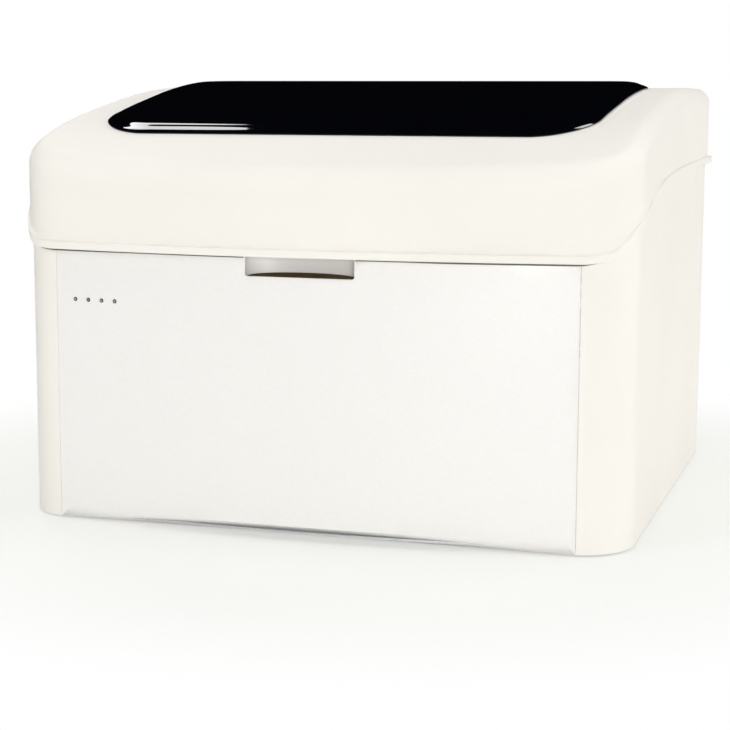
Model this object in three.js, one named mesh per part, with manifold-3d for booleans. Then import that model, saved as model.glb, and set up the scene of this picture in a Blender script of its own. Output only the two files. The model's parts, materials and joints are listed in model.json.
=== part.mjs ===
// Bench-top biochemistry analyzer: a bowed casing, a hinged lid with a dark window, and the
// sampling deck under the lid. Millimetres, +Z up, the front faces -Y, origin under the middle.

import * as THREE from 'three';
import { mergeVertices } from 'three/addons/utils/BufferGeometryUtils.js';
import Module from 'manifold-3d';

const wasm = await Module();
wasm.setup();

// Driving dimensions of the casing. Depths count from the straight line through the two ends of
// the bowed front.
const bodyWidth = 700;
const bodyDepth = 628;
const halfWidth = bodyWidth / 2;
const frontBow = 38;
const frontCornerRadius = 64;
const rearCornerRadius = 24;
const casingWall = 3;
const skirtGap = 2;
const seamGap = 0.6;
const seatGap = 0.3;
const fitGap = 0.5;

// Heights above the bench.
const lidLineFront = 309;
const lidLineClimb = 85;
const lidLineRear = lidLineFront + lidLineClimb;
const lidFrontHeight = 87;
const lidRearHeight = 97;
const lidTopFront = lidLineFront + lidFrontHeight;
const lidTopRear = lidLineRear + lidRearHeight;
const rimOverlap = 5;
const deckDrop = 9;
const deckThickness = 4;
const deckTop = lidLineFront - deckDrop;
const deckBottom = deckTop - deckThickness;
const baseFloor = 8;
const baseThickness = 2.5;

// Lid shell and window.
const lidClearance = 0.6;
const lidWall = 2.4;
const lipReach = 9;
const lipHeight = 8.5;
const lipFlare = 10;
const lipRound = 1.5;
const lidEdgeRadius = 20;
const windowFromSide = 49;
const windowFromRear = 186;
const windowWidth = bodyWidth - 2 * windowFromSide;
const windowFrontY = 60;
const windowRearY = bodyDepth - windowFromRear;
const windowCorner = 76;
const windowLap = 9;
const windowRise = 9;
const windowThickness = 5;
const windowBevel = 17;

// Finger recess in the top of the front panel.
const recessWidth = 123;
const recessHeight = 21;
const recessDepth = 24;
const recessWall = 2;

// Indicator lamps on the front panel.
const lampCount = 4;
const lampPitch = 17.2;
const lampRadius = 2.1;
const lampFromSide = 103;
const lampDrop = 43;
const lampFromMiddle = halfWidth - lampFromSide;
const lampHeight = deckBottom - lampDrop;

// Lid hinges at the rear, and the lid's gas stay on the right.
const hingePivotBehind = 4.5;
const hingeBarrel = 4.5;
const hingePivotHeight = lidLineRear - hingeBarrel - seatGap;
const hingePin = 2;
const hingeLeafLength = 60;
const hingeLeafThickness = 2;
const hingeLeafHeight = 40;
const hingeFromSide = 130;
const hingeFromMiddle = halfWidth - hingeFromSide;
const stayBodyFromRear = 228;
const stayBodyRise = 12;
const stayLidFromRear = 88;
const stayLidDrop = 40;
const stayFromSide = 34;
const stayBodyY = bodyDepth - stayBodyFromRear;
const stayBodyHeight = deckTop + stayBodyRise;
const stayLidY = bodyDepth - stayLidFromRear;
const stayLidHeight = lidTopRear - stayLidDrop;
const stayFromMiddle = halfWidth - stayFromSide;
const stayRadius = 8;
const stayRodRadius = 4;
const stayEye = 7;
const stayStud = 4;

// Running room around the two rotors, and the two baths that hold them.
const rotorGap = 3;
const bathWall = 5;
const bathLip = 1;
const bathFloor = 4;
const bathReach = rotorGap + bathWall + bathLip;
const shaftRadius = 8;
const shaftClearance = 1;
const rotorRise = 4;
const rotorTop = deckTop + rotorRise;

// Sample and reagent carousel. Its bath fills the deck's left half between two rooms.
const carouselSideRoom = 26;
const carouselMiddleRoom = 6;
const carouselRadius = (halfWidth - carouselSideRoom - carouselMiddleRoom) / 2 - bathReach;
const carouselX = -carouselMiddleRoom - bathReach - carouselRadius;
const carouselY = 300;
const carouselPlate = 4;
const carouselDepth = 66;
const carouselTop = rotorTop;
const carouselFloor = carouselTop - carouselDepth;
const carouselTray = 3;
const tubeRingInset = 15;
const tubeRingRadius = carouselRadius - tubeRingInset;
const tubeCount = 12;
const tubeHole = 8;
const pocketCount = 12;
const pocketInner = 46;
const pocketInset = 19;
const pocketOuter = tubeRingRadius - pocketInset;
const pocketAngle = THREE.MathUtils.degToRad(24);
const bottleCount = 6;
const bottleRise = 25;
const bottleNeck = 18;
const bottleShoulder = deckTop + bottleRise;
const bottleTop = bottleShoulder + bottleNeck;

// Reaction ring. Its bath fills the deck's right half between two rooms.
const ringSideRoom = 44;
const ringMiddleRoom = 64;
const ringBand = 24;
const ringOuter = (halfWidth - ringSideRoom - ringMiddleRoom) / 2 - bathReach;
const ringX = ringMiddleRoom + bathReach + ringOuter;
const ringY = 330;
const wellRingRadius = ringOuter - ringBand / 2;
const wellCount = 36;
const wellLength = 8;
const wellWidth = 3.8;
const wellDepth = 30;
const wellUnder = 4;
const ringTop = rotorTop;
const wellFloor = ringTop - wellDepth;
const ringBottom = wellFloor - wellUnder;

// Probe arm, mixer arm and wash head. The probe's tip passes a little inside the wells' ring.
const probeX = 30;
const probeY = 130;
const probeWellInset = 7;
const probeReach = Math.hypot(ringX - probeX, ringY - probeY) - wellRingRadius + probeWellInset;
const probeRestAngle = Math.PI / 2;
const armRise = 100;
const armBottom = deckTop + armRise;
const armThickness = 28;
const armRootRadius = 17;
const armTipRadius = 10;
const probeTipRise = 52;
const probeTip = deckTop + probeTipRise;
const needleRadius = 1.5;
const columnRadius = 12;
const columnDepth = 95;
const columnFoot = deckTop - columnDepth;
const sleeveRise = 30;
const sleeveDepth = 60;
const sleeveTop = deckTop + sleeveRise;
const sleeveBottom = deckTop - sleeveDepth;
const sleeveWall = 8;
const flangeHeight = 4;
const flangeReach = 9;
const mixerFromSide = 42;
const mixerWorkAngle = THREE.MathUtils.degToRad(145);
const mixerRestAngle = Math.PI;
const mixerWellStep = 4;
const mixerColumnRadius = 8;
const mixerArmDrop = 4;
const mixerArmBottom = armBottom - mixerArmDrop;
const mixerArmThickness = 22;
const mixerArmRoot = 14;
const mixerTipRise = 50;
const mixerTip = deckTop + mixerTipRise;
const washNeedles = 7;
const washStep = 20;
const washFoot = 26;
const washFootGap = 4;
const washPostBehind = ringOuter + bathReach + washFootGap + washFoot;
const washHeadRise = 62;
const washHeadBottom = deckTop + washHeadRise;
const washTipRise = 12;
const washTip = deckTop + washTipRise;
const potRadius = 12;
const potWall = 2.5;
const potDepth = 40;
const potStand = 7;

// Counts of facets.
const bowSteps = 10;
const cornerSteps = 7;
const rearSteps = 3;
const sideShares = [0.04, 0.09, 0.16, 0.25, 0.37, 0.5, 0.67, 0.85];
const rearShares = [1 / 3, 2 / 3];
const roundSegments = 20;
const largeSegments = 36;
const smallSegments = 8;
const potSegments = 12;

const quarterTurn = Math.PI / 2;
const baseTop = baseFloor + baseThickness;
const lidOuter = lidClearance + lidWall;
const sweepOver = 10;
const joinLap = 1;

// Outline of the casing seen from above. The bow is one arc, and each front corner is an arc
// that touches the bow and the side.
const bowRadius = (halfWidth ** 2 + frontBow ** 2) / (2 * frontBow);
const bowCentreY = bowRadius - frontBow;
const cornerX = halfWidth - frontCornerRadius;
const cornerY = bowCentreY - Math.sqrt((bowRadius - frontCornerRadius) ** 2 - cornerX ** 2);
const cornerStart = Math.atan2(cornerX, bowCentreY - cornerY);
const rearCornerX = halfWidth - rearCornerRadius;
const rearCornerY = bodyDepth - rearCornerRadius;

// Points of an arc whose angle counts from straight forward (-Y) towards +X.
function arc(x, y, radius, from, to, steps) {
  const points = [];
  for (let i = 0; i <= steps; i += 1) {
    const angle = from + ((to - from) * i) / steps;
    points.push([x + radius * Math.sin(angle), y - radius * Math.cos(angle)]);
  }
  return points;
}

// Front corner, side and rear corner on the right, at an offset outward from the casing's face.
function rightSide(offset) {
  const side = sideShares.map((share) => [
    halfWidth + offset,
    cornerY + (rearCornerY - cornerY) * share,
  ]);
  return [
    ...arc(cornerX, cornerY, frontCornerRadius + offset, cornerStart, quarterTurn, cornerSteps),
    ...side,
    ...arc(rearCornerX, rearCornerY, rearCornerRadius + offset, quarterTurn, Math.PI, rearSteps),
  ];
}

function frontArc(offset, halfAngle) {
  return arc(0, bowCentreY, bowRadius + offset, -halfAngle, halfAngle, bowSteps);
}

function mirrored(points) {
  return points.map(([x, y]) => [-x, y]).reverse();
}

function outline(offset) {
  const right = rightSide(offset);
  const rear = rearShares.map((share) => [rearCornerX * (1 - 2 * share), bodyDepth + offset]);
  const front = frontArc(offset, cornerStart).slice(1, -1);
  return [...front, ...right, ...rear, ...mirrored(right)];
}

// The window's outline has as many points as the casing's, in the same order.
function windowOutline(inset) {
  const half = windowWidth / 2 - inset;
  const low = windowFrontY + inset;
  const high = windowRearY - inset;
  const radius = windowCorner - inset / 2;
  const straight = half - radius;
  const front = [];
  for (let i = 1; i < bowSteps; i += 1) {
    front.push([straight * ((2 * i) / bowSteps - 1), low]);
  }
  const right = [
    ...arc(straight, low + radius, radius, 0, quarterTurn, cornerSteps),
    ...sideShares.map((share) => [half, low + radius + (high - low - 2 * radius) * share]),
    ...arc(straight, high - radius, radius, quarterTurn, Math.PI, rearSteps),
  ];
  const rear = rearShares.map((share) => [straight * (1 - 2 * share), high]);
  return [...front, ...right, ...rear, ...mirrored(right)];
}

// Smooth curve through points without overshoot (monotone cubic).
function smoothCurve(points, x) {
  const slope = (i) => {
    const [x0, y0] = points[i];
    const [x1, y1] = points[i + 1];
    return (y1 - y0) / (x1 - x0);
  };
  const last = points.length - 2;
  const tangent = (i) => {
    if (i === 0) return slope(0);
    if (i > last) return slope(last);
    const before = slope(i - 1);
    const after = slope(i);
    if (before * after <= 0) return 0;
    return (2 * before * after) / (before + after);
  };
  const reach = Math.min(Math.max(x, points[0][0]), points[last + 1][0]);
  let i = 0;
  while (i < last && reach > points[i + 1][0]) i += 1;
  const [x0, y0] = points[i];
  const [x1, y1] = points[i + 1];
  const width = x1 - x0;
  const t = (reach - x0) / width;
  const a = tangent(i) * width;
  const b = tangent(i + 1) * width;
  const rise = y1 - y0;
  return y0 + t * (a + t * (3 * rise - 2 * a - b + t * (a + b - 2 * rise)));
}

// Lower edge of the lid: level at the front, then an S up each side. Shares of the way from the
// front corner to the rear and of the rise.
const lidLineShares = [
  [0, 0], [0.014, 0.03], [0.028, 0.12], [0.05, 0.29], [0.077, 0.43], [0.145, 0.61],
  [0.25, 0.78], [0.34, 0.86], [0.54, 0.94], [0.77, 0.975], [1, 1],
];
const lidLineStart = -10;
function lidLine(y) {
  const share = (y - lidLineStart) / (bodyDepth - lidLineStart);
  return lidLineFront + (lidLineRear - lidLineFront) * smoothCurve(lidLineShares, share);
}

// Top of the lid along its depth. Shares of the lid's depth and of the rise.
const lidTopShares = [
  [0, 0], [0.07, 0.189], [0.157, 0.421], [0.257, 0.607], [0.38, 0.758], [0.507, 0.893],
  [0.624, 0.97], [0.726, 0.995], [1, 1],
];
function lidTop(y) {
  const front = -frontBow - lipReach;
  const share = (y - front) / (bodyDepth + lipReach - front);
  return lidTopFront + (lidTopRear - lidTopFront) * smoothCurve(lidTopShares, share);
}

// Rim of the side panels: a little above the lid's lower edge, hidden behind its lip.
function rimLine(y) {
  return lidLine(y) + rimOverlap;
}

const mergeTolerance = 1e-4;

function enclosedVolume(geometry) {
  const place = geometry.getAttribute('position');
  const index = geometry.getIndex();
  const [a, b, c] = [new THREE.Vector3(), new THREE.Vector3(), new THREE.Vector3()];
  let total = 0;
  for (let i = 0; i < index.count; i += 3) {
    a.fromBufferAttribute(place, index.getX(i));
    b.fromBufferAttribute(place, index.getX(i + 1));
    c.fromBufferAttribute(place, index.getX(i + 2));
    total += a.dot(b.cross(c));
  }
  return total;
}

// Merges shared vertices and turns the faces outward.
function sealed(geometry) {
  const bare = geometry.clone();
  bare.deleteAttribute('normal');
  bare.deleteAttribute('uv');
  const merged = mergeVertices(bare, mergeTolerance);
  if (enclosedVolume(merged) < 0) {
    const index = Array.from(merged.getIndex().array);
    for (let i = 0; i < index.length; i += 3) {
      [index[i], index[i + 1]] = [index[i + 1], index[i]];
    }
    merged.setIndex(index);
  }
  return merged;
}

function toSolid(geometry) {
  const clean = sealed(geometry);
  return new wasm.Manifold(new wasm.Mesh({
    numProp: 3,
    vertProperties: new Float32Array(clean.getAttribute('position').array),
    triVerts: new Uint32Array(clean.getIndex().array),
  }));
}

function fromSolid(solid) {
  const mesh = solid.getMesh();
  const geometry = new THREE.BufferGeometry();
  geometry.setAttribute('position', new THREE.BufferAttribute(mesh.vertProperties, 3));
  geometry.setIndex(new THREE.BufferAttribute(mesh.triVerts, 1));
  return geometry;
}

function join(first, ...others) {
  return fromSolid(others.reduce((sum, other) => sum.add(toSolid(other)), toSolid(first)));
}

function cut(first, ...cutters) {
  return fromSolid(cutters.reduce((rest, cutter) => rest.subtract(toSolid(cutter)), toSolid(first)));
}

// Box given by its lowest and highest corners.
function box(low, high) {
  const size = high.map((value, i) => value - low[i]);
  const middle = high.map((value, i) => (value + low[i]) / 2);
  return new THREE.BoxGeometry(...size).translate(...middle);
}

// Upright prism over a plan outline, with holes if given.
function prism(points, bottom, top, holes = []) {
  const shape = new THREE.Shape(points.map(([x, y]) => new THREE.Vector2(x, y)));
  for (const hole of holes) {
    shape.holes.push(new THREE.Path(hole.map(([x, y]) => new THREE.Vector2(x, y))));
  }
  const geometry = new THREE.ExtrudeGeometry(shape, { depth: top - bottom, bevelEnabled: false });
  return geometry.translate(0, 0, bottom);
}

// Upright turned body from a profile of radius and height, which closes on the axis or on itself.
function turned(profile, segments = roundSegments) {
  const points = profile.map(([radius, height]) => new THREE.Vector2(radius, height));
  return new THREE.LatheGeometry(points, segments).rotateX(quarterTurn);
}

function rod(radius, bottom, top, segments = roundSegments) {
  return turned([[0, bottom], [radius, bottom], [radius, top], [0, top]], segments);
}

function pipe(inner, outer, bottom, top, segments = roundSegments) {
  const profile = [[inner, bottom], [outer, bottom], [outer, top], [inner, top], [inner, bottom]];
  return turned(profile, segments);
}

function cylinder(radius, length, segments = smallSegments) {
  return new THREE.CylinderGeometry(radius, radius, length, segments);
}

function circle(x, y, radius, segments = roundSegments) {
  return arc(x, y, radius, 0, 2 * Math.PI, segments).slice(0, -1);
}

// Outline around two circles on the X axis, as an arm has.
function armOutline(length, rootRadius, tipRadius) {
  const lean = Math.asin((rootRadius - tipRadius) / length);
  return [
    ...arc(length, 0, tipRadius, lean, Math.PI - lean, smallSegments),
    ...arc(0, 0, rootRadius, Math.PI - lean, 2 * Math.PI + lean, smallSegments),
  ];
}

// Closed skin over rings of points. Ring i joins ring i + 1. Open paths get a cap at each end.
function skin(rings, capTriangles) {
  const count = rings[0].length;
  const index = [];
  const spans = capTriangles ? rings.length - 1 : rings.length;
  for (let i = 0; i < spans; i += 1) {
    const here = i * count;
    const there = ((i + 1) % rings.length) * count;
    for (let k = 0; k < count; k += 1) {
      const next = (k + 1) % count;
      index.push(here + k, there + k, there + next, here + k, there + next, here + next);
    }
  }
  const points = rings.flat();
  if (capTriangles) capTriangles(points, index, count, rings.length);
  const geometry = new THREE.BufferGeometry();
  geometry.setAttribute('position', new THREE.Float32BufferAttribute(points.flat(), 3));
  geometry.setIndex(index);
  return geometry;
}

// Cap for a stack of loops: a fan around each end loop's centre.
function fanCaps(points, index, count, rings) {
  for (const [start, forward] of [[0, true], [(rings - 1) * count, false]]) {
    const loop = points.slice(start, start + count);
    const middle = [0, 1, 2].map((axis) => loop.reduce((sum, p) => sum + p[axis], 0) / count);
    const centre = points.length;
    points.push(middle);
    for (let k = 0; k < count; k += 1) {
      const next = (k + 1) % count;
      if (forward) index.push(centre, start + k, start + next);
      else index.push(centre, start + next, start + k);
    }
  }
}

// Cap for an upright wall section: ear cutting in the section's own plane.
function sectionCaps(points, index, count, rings) {
  for (const [start, forward] of [[0, true], [(rings - 1) * count, false]]) {
    const loop = points.slice(start, start + count);
    const far = loop.reduce((best, p) => (
      Math.hypot(p[0] - loop[0][0], p[1] - loop[0][1])
        > Math.hypot(best[0] - loop[0][0], best[1] - loop[0][1]) ? p : best));
    const along = new THREE.Vector2(far[0] - loop[0][0], far[1] - loop[0][1]).normalize();
    const flat = loop.map((p) => new THREE.Vector2(p[0] * along.x + p[1] * along.y, p[2]));
    for (const [a, b, c] of THREE.ShapeUtils.triangulateShape(flat, [])) {
      if (forward) index.push(start + a, start + c, start + b);
      else index.push(start + a, start + b, start + c);
    }
  }
}

// Rings of a wall: path(offset) gives the plan points, rows give offset and height at each.
function wallRings(path, rows) {
  const base = path(0);
  const plans = rows.map(([offset]) => path(offset));
  return base.map((point, i) => rows.map(([, height], k) => [
    plans[k][i][0], plans[k][i][1], height(point[1], plans[k][i][1]),
  ]));
}

const group = new THREE.Group();
const machine = new THREE.Group();
group.add(machine);

const cream = { color: 0xf3f0e8, roughness: 0.35, metalness: 0 };
const pearl = { color: 0xeeede9, roughness: 0.32, metalness: 0.2 };
const gloss = { color: 0x050608, roughness: 0.05, metalness: 0 };
const steel = { color: 0xb8bbbf, roughness: 0.3, metalness: 1 };
const darkSteel = { color: 0x4b4e52, roughness: 0.4, metalness: 0.9 };
const blackPlastic = { color: 0x1b1c1e, roughness: 0.5, metalness: 0 };
const whitePlastic = { color: 0xe6e8ea, roughness: 0.4, metalness: 0 };
const rubber = { color: 0x222222, roughness: 0.8, metalness: 0 };
const clearPlastic = { color: 0xcfe4ea, roughness: 0.1, metalness: 0 };
const amberPlastic = { color: 0xe9e2c8, roughness: 0.25, metalness: 0 };
const boardGreen = { color: 0x1f6b4a, roughness: 0.5, metalness: 0 };

// Adds a named piece. at is its place, and turn its rotation about the upright axis.
function add(name, geometry, finish, at = [0, 0, 0], turn = 0) {
  const mesh = new THREE.Mesh(sealed(geometry), new THREE.MeshStandardMaterial(finish));
  mesh.name = name;
  mesh.position.set(...at);
  mesh.rotation.z = turn;
  machine.add(mesh);
  return mesh;
}

// Casing: floor plate, feet, front, sides and rear.

function addBase() {
  const ventLength = 90;
  const ventWidth = 6;
  const ventPitch = 14;
  const ventCount = 6;
  const ventX = 120;
  const ventY = 430;
  const cutters = [];
  for (let i = 0; i < ventCount; i += 1) {
    const y = ventY + i * ventPitch;
    cutters.push(box(
      [ventX, y, baseFloor - sweepOver],
      [ventX + ventLength, y + ventWidth, baseTop + sweepOver],
    ));
  }
  const plate = prism(outline(-casingWall - fitGap), baseFloor, baseTop);
  add('base_tray', cut(plate, ...cutters), steel);

  const footRadius = 21;
  const footEdge = 2;
  const footInset = 70;
  const top = baseFloor - seatGap;
  const profile = [
    [0, 0], [footRadius - footEdge, 0], [footRadius, footEdge], [footRadius, top], [0, top],
  ];
  for (const [sideName, side] of [['left', -1], ['right', 1]]) {
    const x = side * (halfWidth - footInset);
    add(`foot_front_${sideName}`, turned(profile), rubber, [x, footInset, 0]);
    add(`foot_rear_${sideName}`, turned(profile), rubber, [x, bodyDepth - footInset, 0]);
  }
}

function addFront() {
  const edge = 0.8;
  const rim = () => rimLine(-frontBow);
  const rows = [
    [0, () => skirtGap],
    [0, () => rim() - edge],
    [-edge, rim],
    [-casingWall, rim],
    [-casingWall, () => skirtGap],
  ];
  const path = (offset) => frontArc(offset, cornerStart - seamGap / bowRadius);
  const shell = skin(wallRings(path, rows), sectionCaps);
  const recessFloor = lidLineFront - recessHeight - edge;
  const notch = box(
    [-recessWidth / 2, -frontBow - sweepOver, recessFloor],
    [recessWidth / 2, 0, rim() + sweepOver],
  );
  const lamps = lampPlaces();
  const holes = lamps.map(({ x, y, turn }) => lampPin(lampRadius + seatGap, casingWall + sweepOver)
    .translate(0, -sweepOver / 2, 0).rotateZ(turn).translate(x, y, lampHeight));
  add('front_panel', cut(shell, notch, ...holes), pearl);

  // The moulded cup behind the notch.
  const half = recessWidth / 2;
  const front = -frontBow + casingWall + seatGap + recessWidth ** 2 / (8 * bowRadius);
  const cupSteps = 12;
  const cupFullness = 0.7;
  const cup = (grow) => {
    const wide = half + grow;
    const deep = recessDepth + grow;
    const points = [];
    for (let i = 0; i <= cupSteps; i += 1) {
      const angle = (Math.PI * i) / cupSteps;
      points.push([wide * Math.cos(angle), front + deep * Math.sin(angle) ** cupFullness]);
    }
    return points;
  };
  const outside = prism(cup(recessWall), recessFloor - recessWall, lidLineFront - seatGap);
  const inside = prism(cup(0), recessFloor, lidLineFront + sweepOver);
  const mouth = box(
    [-half, front - sweepOver, recessFloor],
    [half, front + recessWall, lidLineFront + sweepOver],
  );
  add('finger_cup', cut(outside, inside, mouth), pearl);

  // One moulded light guide with a pin for each lamp.
  const bar = 8;
  const middle = lamps.reduce((sum, lamp) => sum + lamp.x, 0) / lampCount;
  const angle = Math.asin(middle / bowRadius);
  const barFront = casingWall + seatGap;
  const length = lampPitch * lampCount;
  const block = box([-length / 2, barFront + fitGap, -bar / 2], [length / 2, barFront + bar, bar / 2])
    .rotateZ(angle)
    .translate(bowRadius * Math.sin(angle), bowCentreY - bowRadius * Math.cos(angle), lampHeight);
  const pins = lamps.map(({ x, y, turn }) => lampPin(lampRadius, barFront + bar / 2)
    .translate(0, -fitGap / 2, 0).rotateZ(turn).translate(x, y, lampHeight));
  add('indicator_light_guide', join(block, ...pins), blackPlastic);
}

function lampPlaces() {
  const places = [];
  for (let i = 0; i < lampCount; i += 1) {
    const along = -lampFromMiddle + (i - (lampCount - 1) / 2) * lampPitch;
    const turn = Math.asin(along / bowRadius);
    places.push({
      x: bowRadius * Math.sin(turn),
      y: bowCentreY - bowRadius * Math.cos(turn),
      turn,
    });
  }
  return places;
}

// A pin along the depth, from its outer end at zero inward.
function lampPin(radius, length) {
  return cylinder(radius, length).translate(0, length / 2, 0);
}

function addSides() {
  const edge = 0.8;
  const rows = [
    [0, () => skirtGap],
    [0, (y) => rimLine(y) - edge],
    [-edge, (y) => rimLine(y)],
    [-casingWall, (y) => rimLine(y)],
    [-casingWall, () => skirtGap],
  ];
  const right = skin(wallRings(rightSide, rows), sectionCaps);
  add('right_side_panel', right, cream);
  add('left_side_panel', right.clone().scale(-1, 1, 1), cream);
}

// Openings of the rear panel, shared with the pieces that sit in them.
const fanFromSide = 180;
const fanX = halfWidth - fanFromSide;
const fanZ = 170;
const fanSize = 92;
const fanBore = 41;
const fanDepth = 25;
const entryFromSide = 120;
const entryX = entryFromSide - halfWidth;
const entryZ = 90;
const entryWidth = 48;
const entryHeight = 62;
const portX = -40;
const portZ = 120;
const portWidth = 130;
const portHeight = 44;
const portCount = 3;
const portPitch = 38;
const portReach = 22;
const portBore = 3;
const rearInner = bodyDepth - casingWall;

function rearSlots(x, z, width, count, pitch, height) {
  const slots = [];
  for (let i = 0; i < count; i += 1) {
    const low = z + (i - (count - 1) / 2) * pitch - height / 2;
    slots.push(box(
      [x - width / 2, rearInner - sweepOver, low],
      [x + width / 2, bodyDepth + sweepOver, low + height],
    ));
  }
  return slots;
}

function addRear() {
  const half = rearCornerX - seamGap;
  const plate = box([-half, rearInner, skirtGap], [half, bodyDepth, rimLine(bodyDepth)]);
  const slotHeight = 4;
  const slotPitch = 10;
  const slotWidth = 110;
  const fanSlots = 8;
  const ventSlots = 7;
  const ventZ = 300;
  const entryHole = box(
    [entryX - entryWidth / 2 - seatGap, rearInner - sweepOver, entryZ - entryHeight / 2 - seatGap],
    [entryX + entryWidth / 2 + seatGap, bodyDepth + sweepOver, entryZ + entryHeight / 2 + seatGap],
  );
  const portHoles = [];
  for (let i = 0; i < portCount; i += 1) {
    portHoles.push(cylinder(portBore * 2, casingWall + sweepOver)
      .translate(portX + (i - (portCount - 1) / 2) * portPitch, bodyDepth, portZ));
  }
  add('rear_panel', cut(
    plate,
    ...rearSlots(fanX, fanZ, fanBore * 2, fanSlots, slotPitch, slotHeight),
    ...rearSlots(-fanX, ventZ, slotWidth, ventSlots, slotPitch, slotHeight),
    ...rearSlots(fanX, ventZ, slotWidth, ventSlots, slotPitch, slotHeight),
    entryHole,
    ...portHoles,
  ), cream);
}

// Power entry: inlet socket and the pocket of the rocker switch, in one moulded housing.
const rockerWidth = 15;
const rockerHeight = 21;
const rockerZ = entryZ + entryHeight / 4;
const rockerSink = 5;
const rockerRoom = 1.5;

function addPowerEntry() {
  const flange = 2;
  const flangeLap = 4;
  const depth = 30;
  const low = [entryX - entryWidth / 2, bodyDepth - depth, entryZ - entryHeight / 2];
  const high = [entryX + entryWidth / 2, bodyDepth + flange, entryZ + entryHeight / 2];
  const housing = box(low, high);
  const bezel = box(
    [low[0] - flangeLap, bodyDepth + seatGap, low[2] - flangeLap],
    [high[0] + flangeLap, bodyDepth + flange, high[2] + flangeLap],
  );
  const socketWidth = 26;
  const socketHeight = 18;
  const socketDepth = 18;
  const socketZ = entryZ - entryHeight / 4;
  const socket = box(
    [entryX - socketWidth / 2, bodyDepth - socketDepth, socketZ - socketHeight / 2],
    [entryX + socketWidth / 2, bodyDepth + sweepOver, socketZ + socketHeight / 2],
  );
  const pocketDepth = 18;
  const pocketHalf = rockerWidth / 2 + fitGap;
  const pocket = box(
    [entryX - pocketHalf, bodyDepth - pocketDepth, rockerZ - rockerHeight / 2 - rockerRoom],
    [entryX + pocketHalf, bodyDepth + sweepOver, rockerZ + rockerHeight / 2 + rockerRoom],
  );
  const bladeWidth = 2;
  const bladeHeight = 4;
  const bladeLength = 14;
  const bladePitch = 7;
  const bladeRise = 2;
  const blades = [-1, 0, 1].map((place) => {
    const x = entryX + place * bladePitch;
    const z = socketZ + (place === 0 ? bladeRise : -bladeRise);
    return box(
      [x - bladeWidth / 2, bodyDepth - socketDepth - flange, z - bladeHeight / 2],
      [x + bladeWidth / 2, bodyDepth - socketDepth + bladeLength, z + bladeHeight / 2],
    );
  });
  add('power_entry', join(cut(join(housing, bezel), socket, pocket), ...blades), blackPlastic);

  // The rocker: a shallow wedge on its own cross axis.
  const half = rockerHeight / 2;
  const proud = 4;
  const back = 7;
  const dish = 1.5;
  const backHalf = half * 0.8;
  const profile = [
    [-half, proud - dish], [0, proud], [half, proud + dish], [backHalf, -back], [-backHalf, -back],
  ];
  const shape = new THREE.Shape(profile.map(([z, y]) => new THREE.Vector2(y, z)));
  const rocker = new THREE.ExtrudeGeometry(shape, { depth: rockerWidth, bevelEnabled: false })
    .translate(0, 0, -rockerWidth / 2)
    .rotateX(quarterTurn)
    .rotateZ(quarterTurn);
  add('rocker_switch', rocker, blackPlastic, [entryX, bodyDepth - rockerSink, rockerZ]);
}

function addPorts() {
  const plateThickness = 2;
  const plate = box(
    [portX - portWidth / 2, bodyDepth + seatGap, portZ - portHeight / 2],
    [portX + portWidth / 2, bodyDepth + seatGap + plateThickness, portZ + portHeight / 2],
  );
  const barb = 1.2;
  const nippleWall = 1.5;
  const root = bodyDepth + seatGap + plateThickness / 2;
  const nipples = [];
  const bores = [];
  for (let i = 0; i < portCount; i += 1) {
    const x = portX + (i - (portCount - 1) / 2) * portPitch;
    const length = portReach - seatGap - plateThickness / 2;
    const outer = portBore + nippleWall;
    const profile = [
      [0, 0], [outer + barb * 2, 0], [outer + barb * 2, length / 4], [outer, length / 4],
      [outer, length / 2], [outer + barb, length / 2], [outer, length * 0.75],
      [outer + barb, length * 0.75], [outer - barb / 2, length], [0, length],
    ];
    nipples.push(turned(profile, smallSegments).rotateX(-quarterTurn).translate(x, root, portZ));
    bores.push(cylinder(portBore, portReach * 2).translate(x, root, portZ));
  }
  add('fluid_port_plate', cut(join(plate, ...nipples), ...bores), whitePlastic);
}

function addFan() {
  const half = fanSize / 2;
  const face = rearInner - seatGap;
  const frameBack = face - fanDepth;
  const spider = 3;
  const hub = 17;
  const armWidth = 5;
  const frame = cut(
    box([-half, frameBack, -half], [half, face, half]),
    cylinder(fanBore, fanDepth * 2, roundSegments).translate(0, frameBack, 0),
  );
  const hubDisc = cylinder(hub, spider, roundSegments).translate(0, frameBack + spider / 2, 0);
  const arms = [0, quarterTurn].map((turn) => box(
    [-half + armWidth / 2, frameBack, -armWidth / 2],
    [half - armWidth / 2, frameBack + spider, armWidth / 2],
  ).rotateY(turn));
  add('fan_frame', join(frame, hubDisc, ...arms), blackPlastic, [fanX, 0, fanZ]);

  const bladeCount = 7;
  const start = frameBack + spider + fitGap;
  const end = face - armWidth / 2;
  const depth = end - start;
  const bladeTip = fanBore - armWidth / 2;
  const bladeThickness = 2.4;
  const pitch = THREE.MathUtils.degToRad(38);
  const chord = depth * 1.05;
  const pieces = [cylinder(hub, depth, roundSegments).translate(0, start + depth / 2, 0)];
  for (let i = 0; i < bladeCount; i += 1) {
    const blade = box(
      [-bladeThickness / 2, -chord / 2, hub - armWidth],
      [bladeThickness / 2, chord / 2, bladeTip],
    )
      .rotateZ(pitch)
      .rotateY((2 * Math.PI * i) / bladeCount)
      .translate(0, start + depth / 2, 0);
    pieces.push(blade);
  }
  add('fan_rotor', join(...pieces), blackPlastic, [fanX, 0, fanZ]);
}

// Chassis between the floor plate and the deck.

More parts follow.
